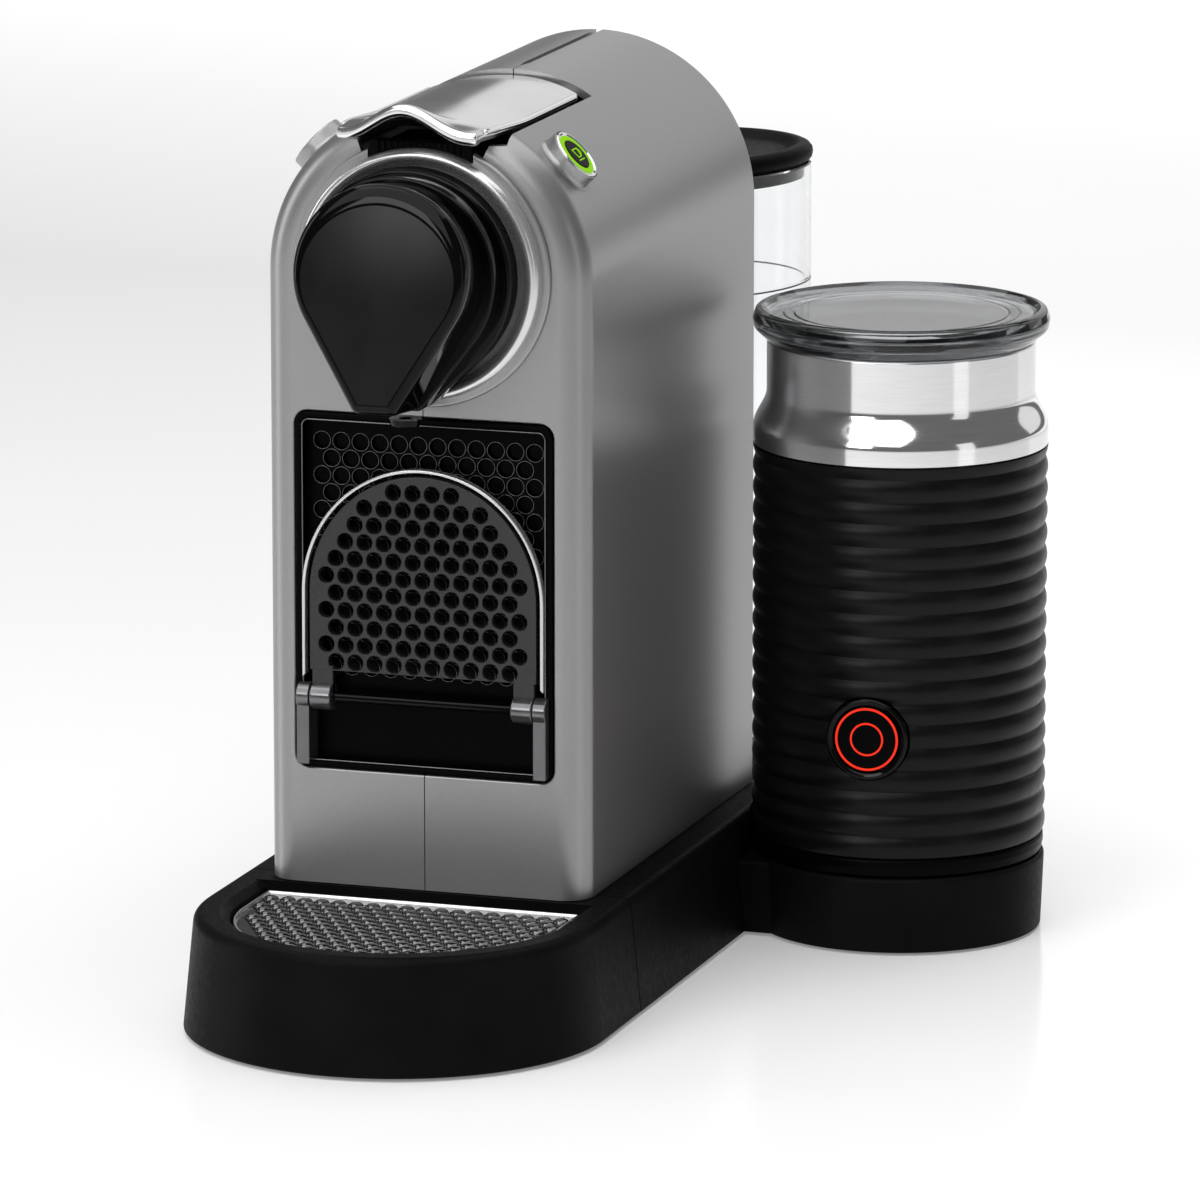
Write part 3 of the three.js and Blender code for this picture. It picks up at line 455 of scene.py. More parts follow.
def show(piece, finish, body, nodes=(), smooth=32, bevel=0.0):
    """Carries a finished mesh into the frame, gives it its look and lets it ride on its body."""
    piece.data.transform(TO_FRAME)
    piece.data.materials.clear()
    piece.data.materials.append(LOOKS[finish].material)
    for face in piece.data.polygons:
        face.use_smooth = True
    piece.data.set_sharp_from_angle(angle=math.radians(smooth))
    if bevel:
        modifier = piece.modifiers.new("bevel", "BEVEL")
        modifier.width = bevel * MM
        modifier.segments = 2
        modifier.limit_method = "ANGLE"
        modifier.angle_limit = math.radians(smooth)
        modifier.harden_normals = True
    weighted = piece.modifiers.new("normals", "WEIGHTED_NORMAL")
    weighted.keep_sharp = True
    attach(piece, body)
    if nodes:
        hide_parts(*nodes)
    return piece


# ------------------------------------------------------------------ base
BASE_HALF = 64
BASE_FRONT = -175
BASE_SEAM = -139
STATION_RADIUS = 46.2
STATION_TOP = 24.1
BRIDGE_HALF = 32.5
BASE_CORNER = 36
BASE_CORNER_AT = (28, 84)
BASE_FOOT = 0.3


def base_plan(spread):
    """Half-round front, straight sides and round rear corners, grown by spread."""
    corner = BASE_CORNER + spread
    x, y = BASE_CORNER_AT
    return (
        arc(0, BASE_FRONT, BASE_HALF + spread, 180, 360, 72)
        + arc(x, y, corner, 0, 90, 24)
        + arc(-x, y, corner, 90, 180, 24)
    )


def base_solid(name):
    rounding = 3.2
    levels = [(BASE_FOOT, 0.9), (0.8, 1.6)]
    for k in range(7):
        angle = math.pi / 2 * k / 6
        height = BASE_TOP - rounding * (1 - math.sin(angle))
        levels.append((height, -1.6 - rounding * (1 - math.cos(angle))))
    return loft(name, [[(p.x, p.y, z) for p in base_plan(spread)] for z, spread in levels])


def rod(name, start, end, radius, steps=48):
    direction = Vector(end) - Vector(start)
    up = (1, 0, 0) if abs(direction.normalized().z) > 0.9 else (0, 0, 1)
    ends = [(0, 0), (radius, 0), (radius, direction.length), (0, direction.length)]
    return lathe(name, ends, steps, place=facing(start, direction, up))


def make_base():
    body = keep(base_solid("base_housing"), box("rear", (-90, 160), (BASE_SEAM, 140), (0, 60)))
    cut(body, rod("jug_room", (FROTHER_X, 0, STATION_TOP), (FROTHER_X, 0, 60), JUG_RADIUS + 0.6, 128))
    station = lathe("station", profile(
        (0, BASE_FOOT, 0), (STATION_RADIUS - 0.9, BASE_FOOT, 0.4), (STATION_RADIUS, 21.5, 1),
        (STATION_RADIUS, STATION_TOP, 1.4), (0, STATION_TOP, 0)), 160, place=at(FROTHER_X, 0))
    bridge = box("bridge", (58, 90), (-BRIDGE_HALF, BRIDGE_HALF), (BASE_FOOT, STATION_TOP - 0.6), 1.2)
    weld(body, bridge, station)
    inner = [[(p.x, p.y, z) for p in base_plan(-5.5)] for z in (0, BASE_TOP - 3)]
    hollow = keep(loft("hollow", inner), box("room", (-90, 90), (BASE_SEAM + 3, 140), (-1, 60)))
    cut(
        body,
        hollow,
        box("bridge_hollow", (50, 92), (3 - BRIDGE_HALF, BRIDGE_HALF - 3), (0, STATION_TOP - 3.6)),
        rod("station_hollow", (FROTHER_X, 0, 0), (FROTHER_X, 0, STATION_TOP - 3), STATION_RADIUS - 4.2, 96),
        rod("hose_hole", (-18, -15, 20), (-18, -15, 45), 5, 32),
        rod("dock_hole", (0, 60, 30), (0, 60, 40), 8.3, 48),
        rod("gland_hole", (-34, 100, 16), (-34, 130, 16), 6.3, 32),
    )
    show(body, "black", "machine", ["base_housing"], bevel=0.35)


def tray_plan(radius, back):
    front = arc(0, BASE_FRONT, radius, 180, 360, 96)
    return front + polygon((radius, back), (-radius, back))


def make_drip_tray():
    tray = keep(base_solid("drip_tray"), box("front", (-90, 90), (-260, BASE_SEAM - GAP), (0, 60)))
    levels = [(30.6, 51.0), (33.6, 51.1), (34.2, 51.5), (36.0, 54.0), (36.8, 55.4)]
    recess = loft("recess", [[(p.x, p.y, z) for p in tray_plan(r, -152.2)] for z, r in levels])
    floor = [(5.0, 45.5), (5.4, 46.4), (6.4, 47.0), (31.0, 47.0)]
    cavity = loft("cavity", [[(p.x, p.y, z) for p in tray_plan(r, -155.2)] for z, r in floor])
    cut(tray, recess, cavity)
    show(tray, "black", "drip_drawer", ["drip_tray"], bevel=0.3)


GRID_RADIUS = 50.5
GRID_BACK = -152.6


def inside_grid(x, y, margin):
    radius = GRID_RADIUS - margin
    if y >= GRID_BACK - margin:
        return False
    return abs(x) < radius and y > BASE_FRONT or math.hypot(x, y - BASE_FRONT) < radius


def make_drip_grid():
    plate = slab("drip_grid", tray_plan(GRID_RADIUS, GRID_BACK), 30.9, 32.2, 0.3)
    pitch = 5.5
    holes = bmesh.new()
    centres = hexagons(pitch, lambda x, y: inside_grid(x, y, 4.6), 50, -226, -155)
    for x, y in centres[::3]:
        add_slab(holes, circle(x + pitch / 2, y - pitch * 0.289, 0.8, 10), 25, 40)
    cut(plate, as_object("holes", holes))
    bumps = bmesh.new()
    dome = [(2.65, 31.7), (2.6, 32.3), (2.3, 32.8), (1.8, 33.2), (1.2, 33.45), (0.6, 33.55), (0, 33.6)]
    for x, y in hexagons(pitch, lambda x, y: inside_grid(x, y, 3.6), 50, -226, -155):
        add_lathe(bumps, dome, 16, place=at(x, y))
    outer = tray_plan(GRID_RADIUS - 0.2, GRID_BACK - 0.2)
    rings = [(30.95, 0.3), (32.9, 0.0), (33.3, 0.3), (33.3, 0.6), (32.9, 0.9), (31.6, 1.1), (31.0, 1.0)]
    edge = band("drip_grid_edge", [[(p.x, p.y, z) for p in shrunk(outer, inset)] for z, inset in rings])
    show(plate, "dark_chrome", "drip_grate", ["drip_grid"])
    show(as_object("drip_grid_bumps", bumps), "dark_chrome", "drip_grate", smooth=60)
    show(edge, "satin_chrome", "drip_grate", smooth=50)


make_base()
make_drip_tray()
make_drip_grid()

# ------------------------------------------------------------------ silver housing
FILLET = 9
WALL = 2.4
BUTTON_TILT = math.radians(48.5)
BUTTON_Y = -129
BUTTON_REACH = 56
BUTTON_RIM = 8.5
LEVER_HALF = 23.8


def arch(half, bottom):
    return polygon((half, bottom)) + arc(0, ARCH_CENTRE, half, 0, 180, 120) + polygon((-half, bottom))


def arch_solid(name, half, bottom, front, rear, fillet):
    stations = [(front + depth, half - inset) for depth, inset in rim(fillet, 10)] + [(rear, half)]
    return loft(name, [[(p.x, y, p.y) for p in arch(h, bottom)] for y, h in stations])


def button_place(side, reach):
    direction = Vector((side * math.sin(BUTTON_TILT), 0, math.cos(BUTTON_TILT)))
    return facing(Vector((0, BUTTON_Y, ARCH_CENTRE)) + direction * reach, direction, (0, 1, 0))


def lever_recess():
    """Two cutters: the opening the lever lies in, and the deeper room its rear edge swings through."""
    half = LEVER_HALF + 2.2
    turns = (math.pi * k / 24 for k in range(25))
    rear = [Vector((half * math.cos(a), -67 + 2 * math.sin(a))) for a in turns]
    opening = slab("recess", polygon((-half, -172), (half, -172)) + rear, 267.6, 300)
    room = slab("swing", polygon((-half, -104), (half, -104)) + rear, 262, 270)
    return opening, room


def make_housing():
    shell = arch_solid("housing", HALF_WIDTH, HOUSING_BOTTOM, FRONT_Y, REAR_Y, FILLET)
    hollow = arch_solid("hollow", HALF_WIDTH - WALL, 20, FRONT_Y + WALL, 40, FILLET - WALL)
    throat = polygon((-16.5, 257.5), (16.5, 257.5), (22, 270), (-17, 270))
    slot = polygon((-1.1, 30), (-1.1, -52), (-0.2, -58), (0.2, -58), (1.1, -52), (1.1, 30))[::-1]
    cut(
        shell,
        hollow,
        *lever_recess(),
        slab("throat", throat, -160, -140, axis="y"),
        slab("pocket", rounded_box(-41.5, 41.5, 72.7, 183.7, 4.3), FRONT_Y - 0.05, -140, -0.8, "y"),
        slab("head_hole", circle(0, HEAD_CENTRE, 34, 128), -160, -140, axis="y"),
        slab("slot", slot, 276.0, 300),
        *(lathe("button_hole", [(0, -16), (BUTTON_RIM + GAP, -16), (BUTTON_RIM + GAP, 6), (0, 6)], 64,
                place=button_place(side, BUTTON_REACH)) for side in (-1, 1)),
    )
    keep(shell, box("half", (GAP / 2, 70), (-200, 60), (0, 300)))
    shell.name = "housing_right"
    other = copy_of(shell, "housing_left")
    other.data.transform(Matrix.Scale(-1, 4, (1, 0, 0)))
    other.data.flip_normals()
    show(shell, "silver", "machine", ["housing_right"], bevel=0.35)
    show(other, "silver", "machine", ["housing_left"], bevel=0.35)


def make_boss(side, name):
    """The silver collar that carries a button out of the arched shell and flares into it."""
    flare = 1.5
    foot = BUTTON_RIM + 0.55 + flare
    level = HALF_WIDTH - BUTTON_REACH - 0.05
    shape = []
    for k in range(9):
        angle = math.pi / 2 * k / 8
        shape.append((foot - flare * math.sin(angle), level + flare * (1 - math.cos(angle))))
    shape += [(9.0, -0.7), (8.95, -0.4), (8.8, -0.25), (8.65, -0.4), (8.65, -8)]
    bm = bmesh.new()
    add_lathe(bm, shape, 96)
    for vert in bm.verts:
        if vert.co.z < level + flare + 0.1:
            vert.co.z -= HALF_WIDTH - math.sqrt(HALF_WIDTH ** 2 - vert.co.x ** 2)
    bmesh.ops.transform(bm, matrix=button_place(side, BUTTON_REACH), verts=bm.verts)
    show(as_object(name, bm), "silver", "machine", smooth=50)


def make_rear_cover():
    half = HALF_WIDTH - WALL - GAP
    cover = slab("rear_cover", arch(half, HOUSING_BOTTOM + 0.4), 17.2, 20, 0.5, "y")
    grooves = [box("groove", (-30, 30), (19.2, 21), (z, z + 2)) for z in range(150, 230, 8)]
    cut(cover, *grooves)
    show(cover, "black", "machine", ["rear_cover"], bevel=0.2)


make_housing()
make_boss(-1, "button_boss_left")
make_boss(1, "button_boss_right")
make_rear_cover()


# ------------------------------------------------------------------ cup buttons
def cup_icon(bm, size, line):
    """A cup seen from the side, drawn in raised lines with its handle and saucer."""
    rim_line = size * 0.7
    foot = -size * 0.55
    bowl = [(-size, rim_line, 0), (-size * 0.6, foot, 0), (size * 0.4, foot, 0), (size * 0.75, rim_line, 0)]
    for start, end in zip(bowl, bowl[1:] + bowl[:1]):
        add_tube(bm, [start, end], line, 8)
    add_tube(bm, [(-size, -size, 0), (size * 0.8, -size, 0)], line, 8)
    handle = [(p.x, p.y, 0) for p in arc(size * 0.62, size * 0.12, size * 0.45, -90, 90, 12)]
    add_tube(bm, handle, line, 8)


def make_button(side, name):
    place = button_place(side, BUTTON_REACH)
    ring = section(
        (5.95, -9, 0), (8.5, -9, 0), (8.5, 0, 0.5), (7.9, 0, 0.3), (7.3, -0.35, 0.2), (5.95, -0.35, 0.2))
    show(lathe("button_rim_" + name, ring, 96, True, place), "chrome", "machine", ["button_rim_" + name])
    lit = section((5.3, -1.5, 0), (7.15, -1.5, 0), (7.15, -0.12, 0.3), (5.3, -0.12, 0.3))
    show(lathe("button_light_" + name, lit, 96, True, place), "green_ring", "button_" + name)
    top = profile(
        (0, -7.4, 0), (5.9, -7.4, 0), (5.9, -1.7, 0), (5.25, -1.7, 0), (5.25, 0.0, 0.35), (0, 0.05, 0))
    cap = lathe("coffee_button_" + name, top, 96, place=place)
    show(cap, "panel_black", "button_" + name, ["coffee_button_" + name])
    icon = bmesh.new()
    cup_icon(icon, 2.3, 0.22)
    turn = Matrix.Rotation(math.radians(90), 4, "Z")
    bmesh.ops.transform(icon, matrix=place @ turn @ at(0.2, 0.1, 0.02), verts=icon.verts)
    show(as_object("button_icon_" + name, icon), "green_ring", "button_" + name)


make_button(-1, "left")
make_button(1, "right")

# ------------------------------------------------------------------ brew head
HEAD = facing((0, FRONT_Y, HEAD_CENTRE), (0, -1, 0))
COVER_TILT = math.radians(7)
COLLAR_RADIUS = 41


def teardrop(radius, tip, tip_half, corner):
    """A round top whose straight sides run down to a blunt, rounded tip."""
    reach = math.hypot(tip, tip_half)
    start = math.atan2(-tip, tip_half) + math.acos(radius / reach)
    top = arc(0, 0, radius, math.degrees(start), 180 - math.degrees(start), 90)
    foot = rounded([(top[-1].x, top[-1].y, 0), (-tip_half, -tip, corner), (tip_half, -tip, corner),
                    (top[0].x, top[0].y, 0)])
    sides = 10
    left = [top[-1].lerp(foot[1], k / sides) for k in range(1, sides)]
    right = [foot[-2].lerp(top[0], k / sides) for k in range(1, sides)]
    return top + left + foot[1:-1] + right


def make_head_ring():
    plate = section((34.4, -0.6, 0), (COLLAR_RADIUS, -0.6, 0), (COLLAR_RADIUS, 1.5, 0.9), (34.4, 1.7, 0))
    collar = lathe("head_collar", plate, 160, True, HEAD)
    dish = [(31.0, -5), (33.7, -5), (33.7, 1.0), (38.5, 1.0)]
    dish += [(38.5, 4.2), (38.4, 4.9), (38.0, 5.7), (37.4, 6.3), (36.7, 6.5), (36.1, 6.4)]
    dish += [(35.6, 6.1), (35.0, 5.4), (34.4, 4.4), (33.8, 3.2), (32.6, 2.6), (31.0, 2.4)]
    ring = lathe("head_ring", dish, 160, True, HEAD)
    for piece in (collar, ring):
        cut(piece, box("throat", (-16.8, 16.8), (FRONT_Y - 2.1, FRONT_Y + 12), (256.9, 300)))
    show(collar, "silver", "machine", smooth=40)
    show(ring, "satin_chrome", "machine", ["head_ring"], smooth=40)


def make_head_core():
    side = profile((0, -4.7, 0), (30.7, -4.7, 0), (30.7, 8, 1), (0, 8, 0))
    drum = lathe("head_core", side, 128, place=HEAD)
    show(drum, "gloss_black", "machine", ["head_core"])
    layers = [("middle", 32.9, 0.9, 6.9, 14.9, 0.9), ("front", 30.4, 2.4, 14.8, 22.8, 0.7)]
    for name, radius, rise, low, high, edge in layers:
        outline = [p + Vector((0, rise)) for p in teardrop(radius, 38 + rise, 7, 2.5)]
        layer = slab("head_" + name, outline, low, high, edge)
        if name == "front":
            bore = rod("bore", (0, -60, 16), (0, -20, 16), 2.6, 24)
            cut(layer, bore)
        layer.data.transform(HEAD)
        show(layer, "gloss_black", "machine", smooth=40)


def make_head_cover():
    """The black teardrop cap: a polished rim around a satin, slightly domed face."""
    outer = teardrop(27.3, 41.8, 6.4, 3.2)
    face = [Vector((p.x, p.y - 3.4 * smoothstep(-20, 24, p.y))) for p in shrunk(outer, 3.1)]
    tilt = Vector((0, -math.cos(COVER_TILT), math.sin(COVER_TILT)))
    place = facing((0, -192.4, HEAD_CENTRE + 6.2), tilt)
    rings = [[(p.x * 0.98, p.y * 0.98, -32) for p in outer], [(p.x, p.y, -5.6) for p in outer]]
    for k in range(9):
        angle = math.pi / 2 * k / 8
        depth = 2.9 * (1 - math.sin(angle))
        rings.append([(*q.lerp(p, math.cos(angle)), -depth) for p, q in zip(outer, face)])
    cover = loft("head_cover", rings)
    cover.data.transform(place)
    keep(cover, box("front", (-60, 60), (-260, FRONT_Y - 22.8 - GAP), (150, 300)))
    show(cover, "gloss_black", "machine", ["head_cover"], smooth=40)
    crown_drop = 4
    steps = [[(p.x, p.y, -0.5) for p in face]]
    for k in range(16):
        share = 1 - k / 16
        level = 1.6 * (1 - share ** 2)
        steps.append([(p.x * share, (p.y + crown_drop) * share - crown_drop, level) for p in face])
    dome = loft("head_cover_face", steps)
    dome.data.transform(place)
    show(dome, "face_black", "machine", smooth=60)


def make_spout():
    tube = section((2, 184.2, 0.3), (4.6, 184.2, 0.6), (5.0, 186.4, 0), (2, 186.4, 0))
    spout = lathe("outlet_spout", tube, 64, True, at(0, FRONT_Y - 16))
    show(spout, "gloss_black", "machine", ["outlet_spout"])


make_head_ring()
make_head_core()
make_head_cover()
make_spout()


# ------------------------------------------------------------------ capsule throat
def make_throat():
    body = box("throat_block", (-24, 24), (-147, -101), (259.2, 264))
    nose = slab("nose", rounded_box(-16.2, 16.2, 259.2, 268, 0.8), -152.6, -146.5, axis="y")
    weld(body, nose)
    grooves = [box("groove", (x - 0.4, x + 0.4), (-154, -151.9), (260.5, 270)) for x in range(-13, 14, 2)]
    cut(body, box("way", (-19.5, 19.5), (-137, -106), (250, 270)), *grooves)
    show(body, "black", "machine", ["throat_block"], bevel=0.3)


make_throat()

# ------------------------------------------------------------------ lever
LEVER_PIVOT = Vector((0, -76, 266))


def lever_line(u, s):
    """Point on the top of the lever, u from its rear edge to its lip, s across from -1 to 1."""
    curl = smoothstep(0.82, 1.0, u)
    half = LEVER_HALF - 1.6 * curl
    rear = -66.3 - 7.7 * s * s
    front = -168.4 + 3.0 * s * s + 1.4 * abs(s) ** 8
    y = rear + (front - rear) * u
    crown = 275.7 + 0.9 * smoothstep(0.5, 0.9, u) + 5.4 * smoothstep(0.84, 1.0, u)
    edge = 272.0 + 1.7 * smoothstep(0.5, 0.95, u)
    arch_share = 1 - s * s
    wave = max(0.0, math.cos(math.pi / 2 * s)) ** 2.5
    height = edge + (crown - edge) * (arch_share + (wave - arch_share) * curl)
    return Vector((half * s, y, height))


def lever_ring(u, thickness):
    """Closed section of the lever: a thin skin that swells into a rolled rim at both sides."""
    across = [math.sin(math.pi / 2 * k / 22) for k in range(-22, 23)]
    top = [lever_line(u, s) for s in across]
    upper, lower = [], []
    for s, here in zip(across, top):
        swell = smoothstep(0.86, 0.98, abs(s))
        depth = thickness + max(0.0, 3.2 - thickness) * swell
        close = 1 - smoothstep(0.985, 1.0, abs(s))
        lift = (1 - close) * depth * 0.42
        upper.append(here + Vector((0, 0, -lift)))
        lower.append(here + Vector((0, 0, -depth + lift)))
    return upper + lower[::-1]


def make_lever():
    rings = []
    count = 54
    for k in range(count + 1):
        u = k / count
        thickness = 1.6 + 2.2 * smoothstep(0.955, 0.985, u)
        rings.append(lever_ring(u, thickness if k else 1.0))
    end = rings[-1]
    for reach, share in ((0.5, 0.3), (0.8, 0.55), (0.95, 0.8)):
        cap = []
        for point, opposite in zip(end, reversed(end)):
            cap.append(point.lerp((point + opposite) / 2, share) + Vector((0, -reach * 1.6, 0)))
        rings.append(cap)
    skin = loft("lever", rings)
    show(skin, "lever_chrome", "loading_lever", ["lever"], smooth=60)
    rails = bmesh.new()
    for side in (-1, 1):
        edge = [lever_line(0.03 + 0.9 * k / 30, 0.985 * side) + Vector((0, 0, -0.7)) for k in range(31)]
        add_tube(rails, edge, 0.95, 14)
    show(as_object("lever_rails", rails), "chrome", "loading_lever", smooth=60)
    knuckles = bmesh.new()
    for side in (-1, 1):
        low, high = sorted((side * 13, side * 20))
        add_slab(knuckles, circle(LEVER_PIVOT.y, LEVER_PIVOT.z, 9.3, 64), low, high, 0.4, "x")
    piece = as_object("lever_knuckles", knuckles)
    keep(piece, rod("arch", (0, -60, 208), (0, -100, 208), 66.8, 160))
    cut(piece, rod("bore", (-30, *LEVER_PIVOT.yz), (30, *LEVER_PIVOT.yz), 1.8, 24))
    show(piece, "steel", "loading_lever")


make_lever()

# ------------------------------------------------------------------ pocket and cup support
POCKET_HALF = 41.2
POCKET_BOTTOM = 73
POCKET_TOP = 183.4
HINGE = Vector((0, -151.4, 95.3))
HINGE_RADIUS = 4.2
SUPPORT_HALF = 39.0
SUPPORT_BOTTOM = 101
SUPPORT_SPRING = 128
SUPPORT_TOP = 168


def support_outline(inset):
    """Straight sides up to SUPPORT_SPRING, under a half-elliptical top."""
    half = SUPPORT_HALF - inset
    rise = SUPPORT_TOP - SUPPORT_SPRING - inset
    turns = (math.pi * k / 96 for k in range(97))
    top = [Vector((half * math.cos(a), SUPPORT_SPRING + rise * math.sin(a))) for a in turns]
    return polygon((half, SUPPORT_BOTTOM + inset)) + top + polygon((-half, SUPPORT_BOTTOM + inset))


def inside_support(x, z, margin):
    half = SUPPORT_HALF - margin
    rise = SUPPORT_TOP - SUPPORT_SPRING - margin
    below_top = z < SUPPORT_SPRING or math.hypot(x / half, (z - SUPPORT_SPRING) / rise) < 1
    return abs(x) < half and SUPPORT_BOTTOM + margin < z and below_top


def make_pocket():
    outline = rounded_box(-POCKET_HALF, POCKET_HALF, POCKET_BOTTOM, POCKET_TOP, 4)
    panel = slab("pocket_panel", outline, FRONT_Y - 0.2, -144, 0.6, "y")
    recess = rounded_box(2 - POCKET_HALF, POCKET_HALF - 2, POCKET_BOTTOM + 2, POCKET_TOP - 2, 2.5)
    cut(panel, slab("recess", recess, FRONT_Y - 0.25, -146.5, -0.7, "y"))
    dimples = bmesh.new()
    # Each dimple also gets a thin ring in lighter smoked metal: a painted highlight that stands in for the
    # glint on the dimple's rounded edge.
    highlight_lips = bmesh.new()
    plug = [(0, -1.6), (2.3, -1.6), (2.5, -1.3), (2.55, -0.2), (2.65, 0.02), (2.7, 0.3), (0, 0.3)]
    lip = section((2.66, -0.1, 0), (2.84, -0.1, 0), (2.82, 0.1, 0.05), (2.68, 0.1, 0.05))
    spots = hexagons(6.2, lambda x, z: abs(x) < 36.2 and z > 102, 40, 102, 173.9, 3.1)
    for x, z in spots:
        place = facing((x, -146.5, z), (0, -1, 0))
        add_lathe(dimples, plug, 24, place=place)
        add_lathe(highlight_lips, lip, 24, True, place)
    cut(panel, as_object("dimples", dimples))
    show(panel, "panel_black", "capsule_drawer", ["pocket_panel"])
    bead = bmesh.new()
    line = shrunk(recess, 0.3)
    add_tube(bead, [(p.x, FRONT_Y - 0.2, p.y) for p in line + line[:1]], 0.22, 8)
    # The smoked-metal finish of the dimple rings is a painted highlight on the dimple edges.
    for name, trim in (("pocket_bead", bead), ("pocket_dimple_highlight_lips", highlight_lips)):
        show(as_object(name, trim), "smoked_metal", "capsule_drawer", smooth=60)
    for side, name in ((-1, "left"), (1, "right")):
        low, high = sorted((side * 36, side * 40))
        leg = polygon((HINGE.y - 3.2, 74.5), (-146.2, 74.5), (-146.2, HINGE.z), (HINGE.y - 3.2, HINGE.z))
        eye = circle(HINGE.y, HINGE.z, HINGE_RADIUS, 48)
        bm = bmesh.new()
        add_slab(bm, leg, low, high, 0.3, "x")
        lug = as_object("pocket_lug_" + name, bm)
        weld(lug, slab("eye", eye, low, high, 0.3, "x"))
        show(lug, "smoked_metal", "capsule_drawer", bevel=0.2)


def make_cup_support():
    plate = slab("cup_support", support_outline(2.6), -152.4, -149.8, 0.3, "y")
    holes = bmesh.new()
    plug = [(0, -4), (2.45, -4), (2.45, -0.45), (2.55, -0.15), (2.8, 0.1), (2.8, 1), (0, 1)]
    for x, z in hexagons(6.2, lambda x, z: inside_support(x, z, 5.2), 40, 101, 160.2, 3.1):
        add_lathe(holes, plug, 24, place=facing((x, -152.4, z), (0, -1, 0)))
    cut(plate, as_object("holes", holes))
    show(plate, "dark_grey", "cup_rest", ["cup_support"])
    barrels = bmesh.new()
    for side, name in ((-1, "left"), (1, "right")):
        low, high = sorted((side * 29, side * 35.7))
        add_slab(barrels, circle(HINGE.y, HINGE.z, HINGE_RADIUS, 48), low, high, 0.5, "x")
        tab = rounded_box(low, high, HINGE.z, SUPPORT_BOTTOM + 4, 0.3)
        tongue = slab("cup_support_tongue_" + name, tab, -152.3, -149.9, 0.3, "y")
        show(tongue, "dark_grey", "cup_rest")
    show(as_object("cup_support_barrels", barrels), "smoked_metal", "cup_rest")
    strip = rounded_box(0.3, 1.3, -152.9, -149.9, 0.35)
    lines = [support_outline(corner.x) for corner in strip]
    rings = [[(p.x, corner.y, p.y) for p, corner in zip(step, strip)] for step in zip(*lines)]
    strip_solid = loft("cup_support_rim", rings)
    show(strip_solid, "satin_chrome", "cup_rest", ["cup_support_rim"], smooth=60)


make_pocket()
make_cup_support()

# ------------------------------------------------------------------ water tank
TANK_HALF = 49
TANK_MIDDLE_Y = 86
TANK_REAR_RADIUS = 31


def tank_plan(spread):
    """A half-round front and round rear corners, grown by spread."""
    rear = TANK_REAR_RADIUS + spread
    middle = TANK_HALF - TANK_REAR_RADIUS
    return (
        arc(middle, TANK_MIDDLE_Y, rear, 0, 90, 30)
        + arc(-middle, TANK_MIDDLE_Y, rear, 90, 180, 30)
        + arc(0, TANK_MIDDLE_Y, TANK_HALF + spread, 182, 358, 88)
    )


def tank_loft(name, levels):
    return loft(name, [[(p.x, p.y, z) for p in tank_plan(spread)] for z, spread in levels])


def make_tank():
    tank = tank_loft("water_tank", [(37.4, -1.6), (37.8, -0.6), (38.8, 0), (225.7, 0), (226.2, -0.4)])
    inner = tank_loft("inner", [(40.4, -4.2), (41.0, -2.9), (42.2, -2.2), (225.7, -2.2), (226.4, -1.8)])
    cut(tank, inner, rod("outlet", (0, 60, 30), (0, 60, 50), 7.3, 48))
    show(tank, "clear_plastic", "tank", ["water_tank"])
    mark = [(187.8, 0.0), (187.8, 0.12), (188.3, 0.12), (188.3, 0.0)]
    line = band("tank_level_line", [[(p.x, p.y, z) for p in tank_plan(spread)] for z, spread in mark])
    show(line, "dark_grey", "tank")


def make_tank_lid():
    levels = [(226.5, -1.6), (226.9, -0.6), (227.9, 0.3), (229.3, 0.6), (230.7, 0.4), (231.8, -0.5)]
    levels += [(232.3, -1.6), (232.5, -2.8), (232.4, -4.2), (231.9, -5.6), (231.0, -7.0)]
    levels += [(230.4, -8.6), (230.3, -11)]
    lid = tank_loft("tank_lid", levels)
    skirt = tank_loft("skirt", [(221.7, -2.9), (222.2, -2.7), (227.4, -2.7)])
    weld(lid, skirt)
    cut(lid, tank_loft("under", [(216, -5.2), (227.6, -5.2)]))
    show(lid, "black", "tank_cover", ["tank_lid"], smooth=40)


make_tank()
make_tank_lid()

# ------------------------------------------------------------------ milk frother
SLEEVE_BOTTOM = 30.6
SLEEVE_TOP = 154.6
NECK_RADIUS = 42.2
NECK_TOP = 187.6
JUG_BUTTON_TURN = math.radians(4)
FROTHER = at(FROTHER_X, 0)
TOWARDS = Vector((math.sin(JUG_BUTTON_TURN), -math.cos(JUG_BUTTON_TURN), 0))


def jug_button_place(reach):
    return facing(Vector((FROTHER_X, 0, 69)) + TOWARDS * reach, TOWARDS)


def jug_button_hole(radius):
    return lathe("hole", [(0, -9), (radius, -9), (radius, 6), (0, 6)], 96, place=jug_button_place(46))


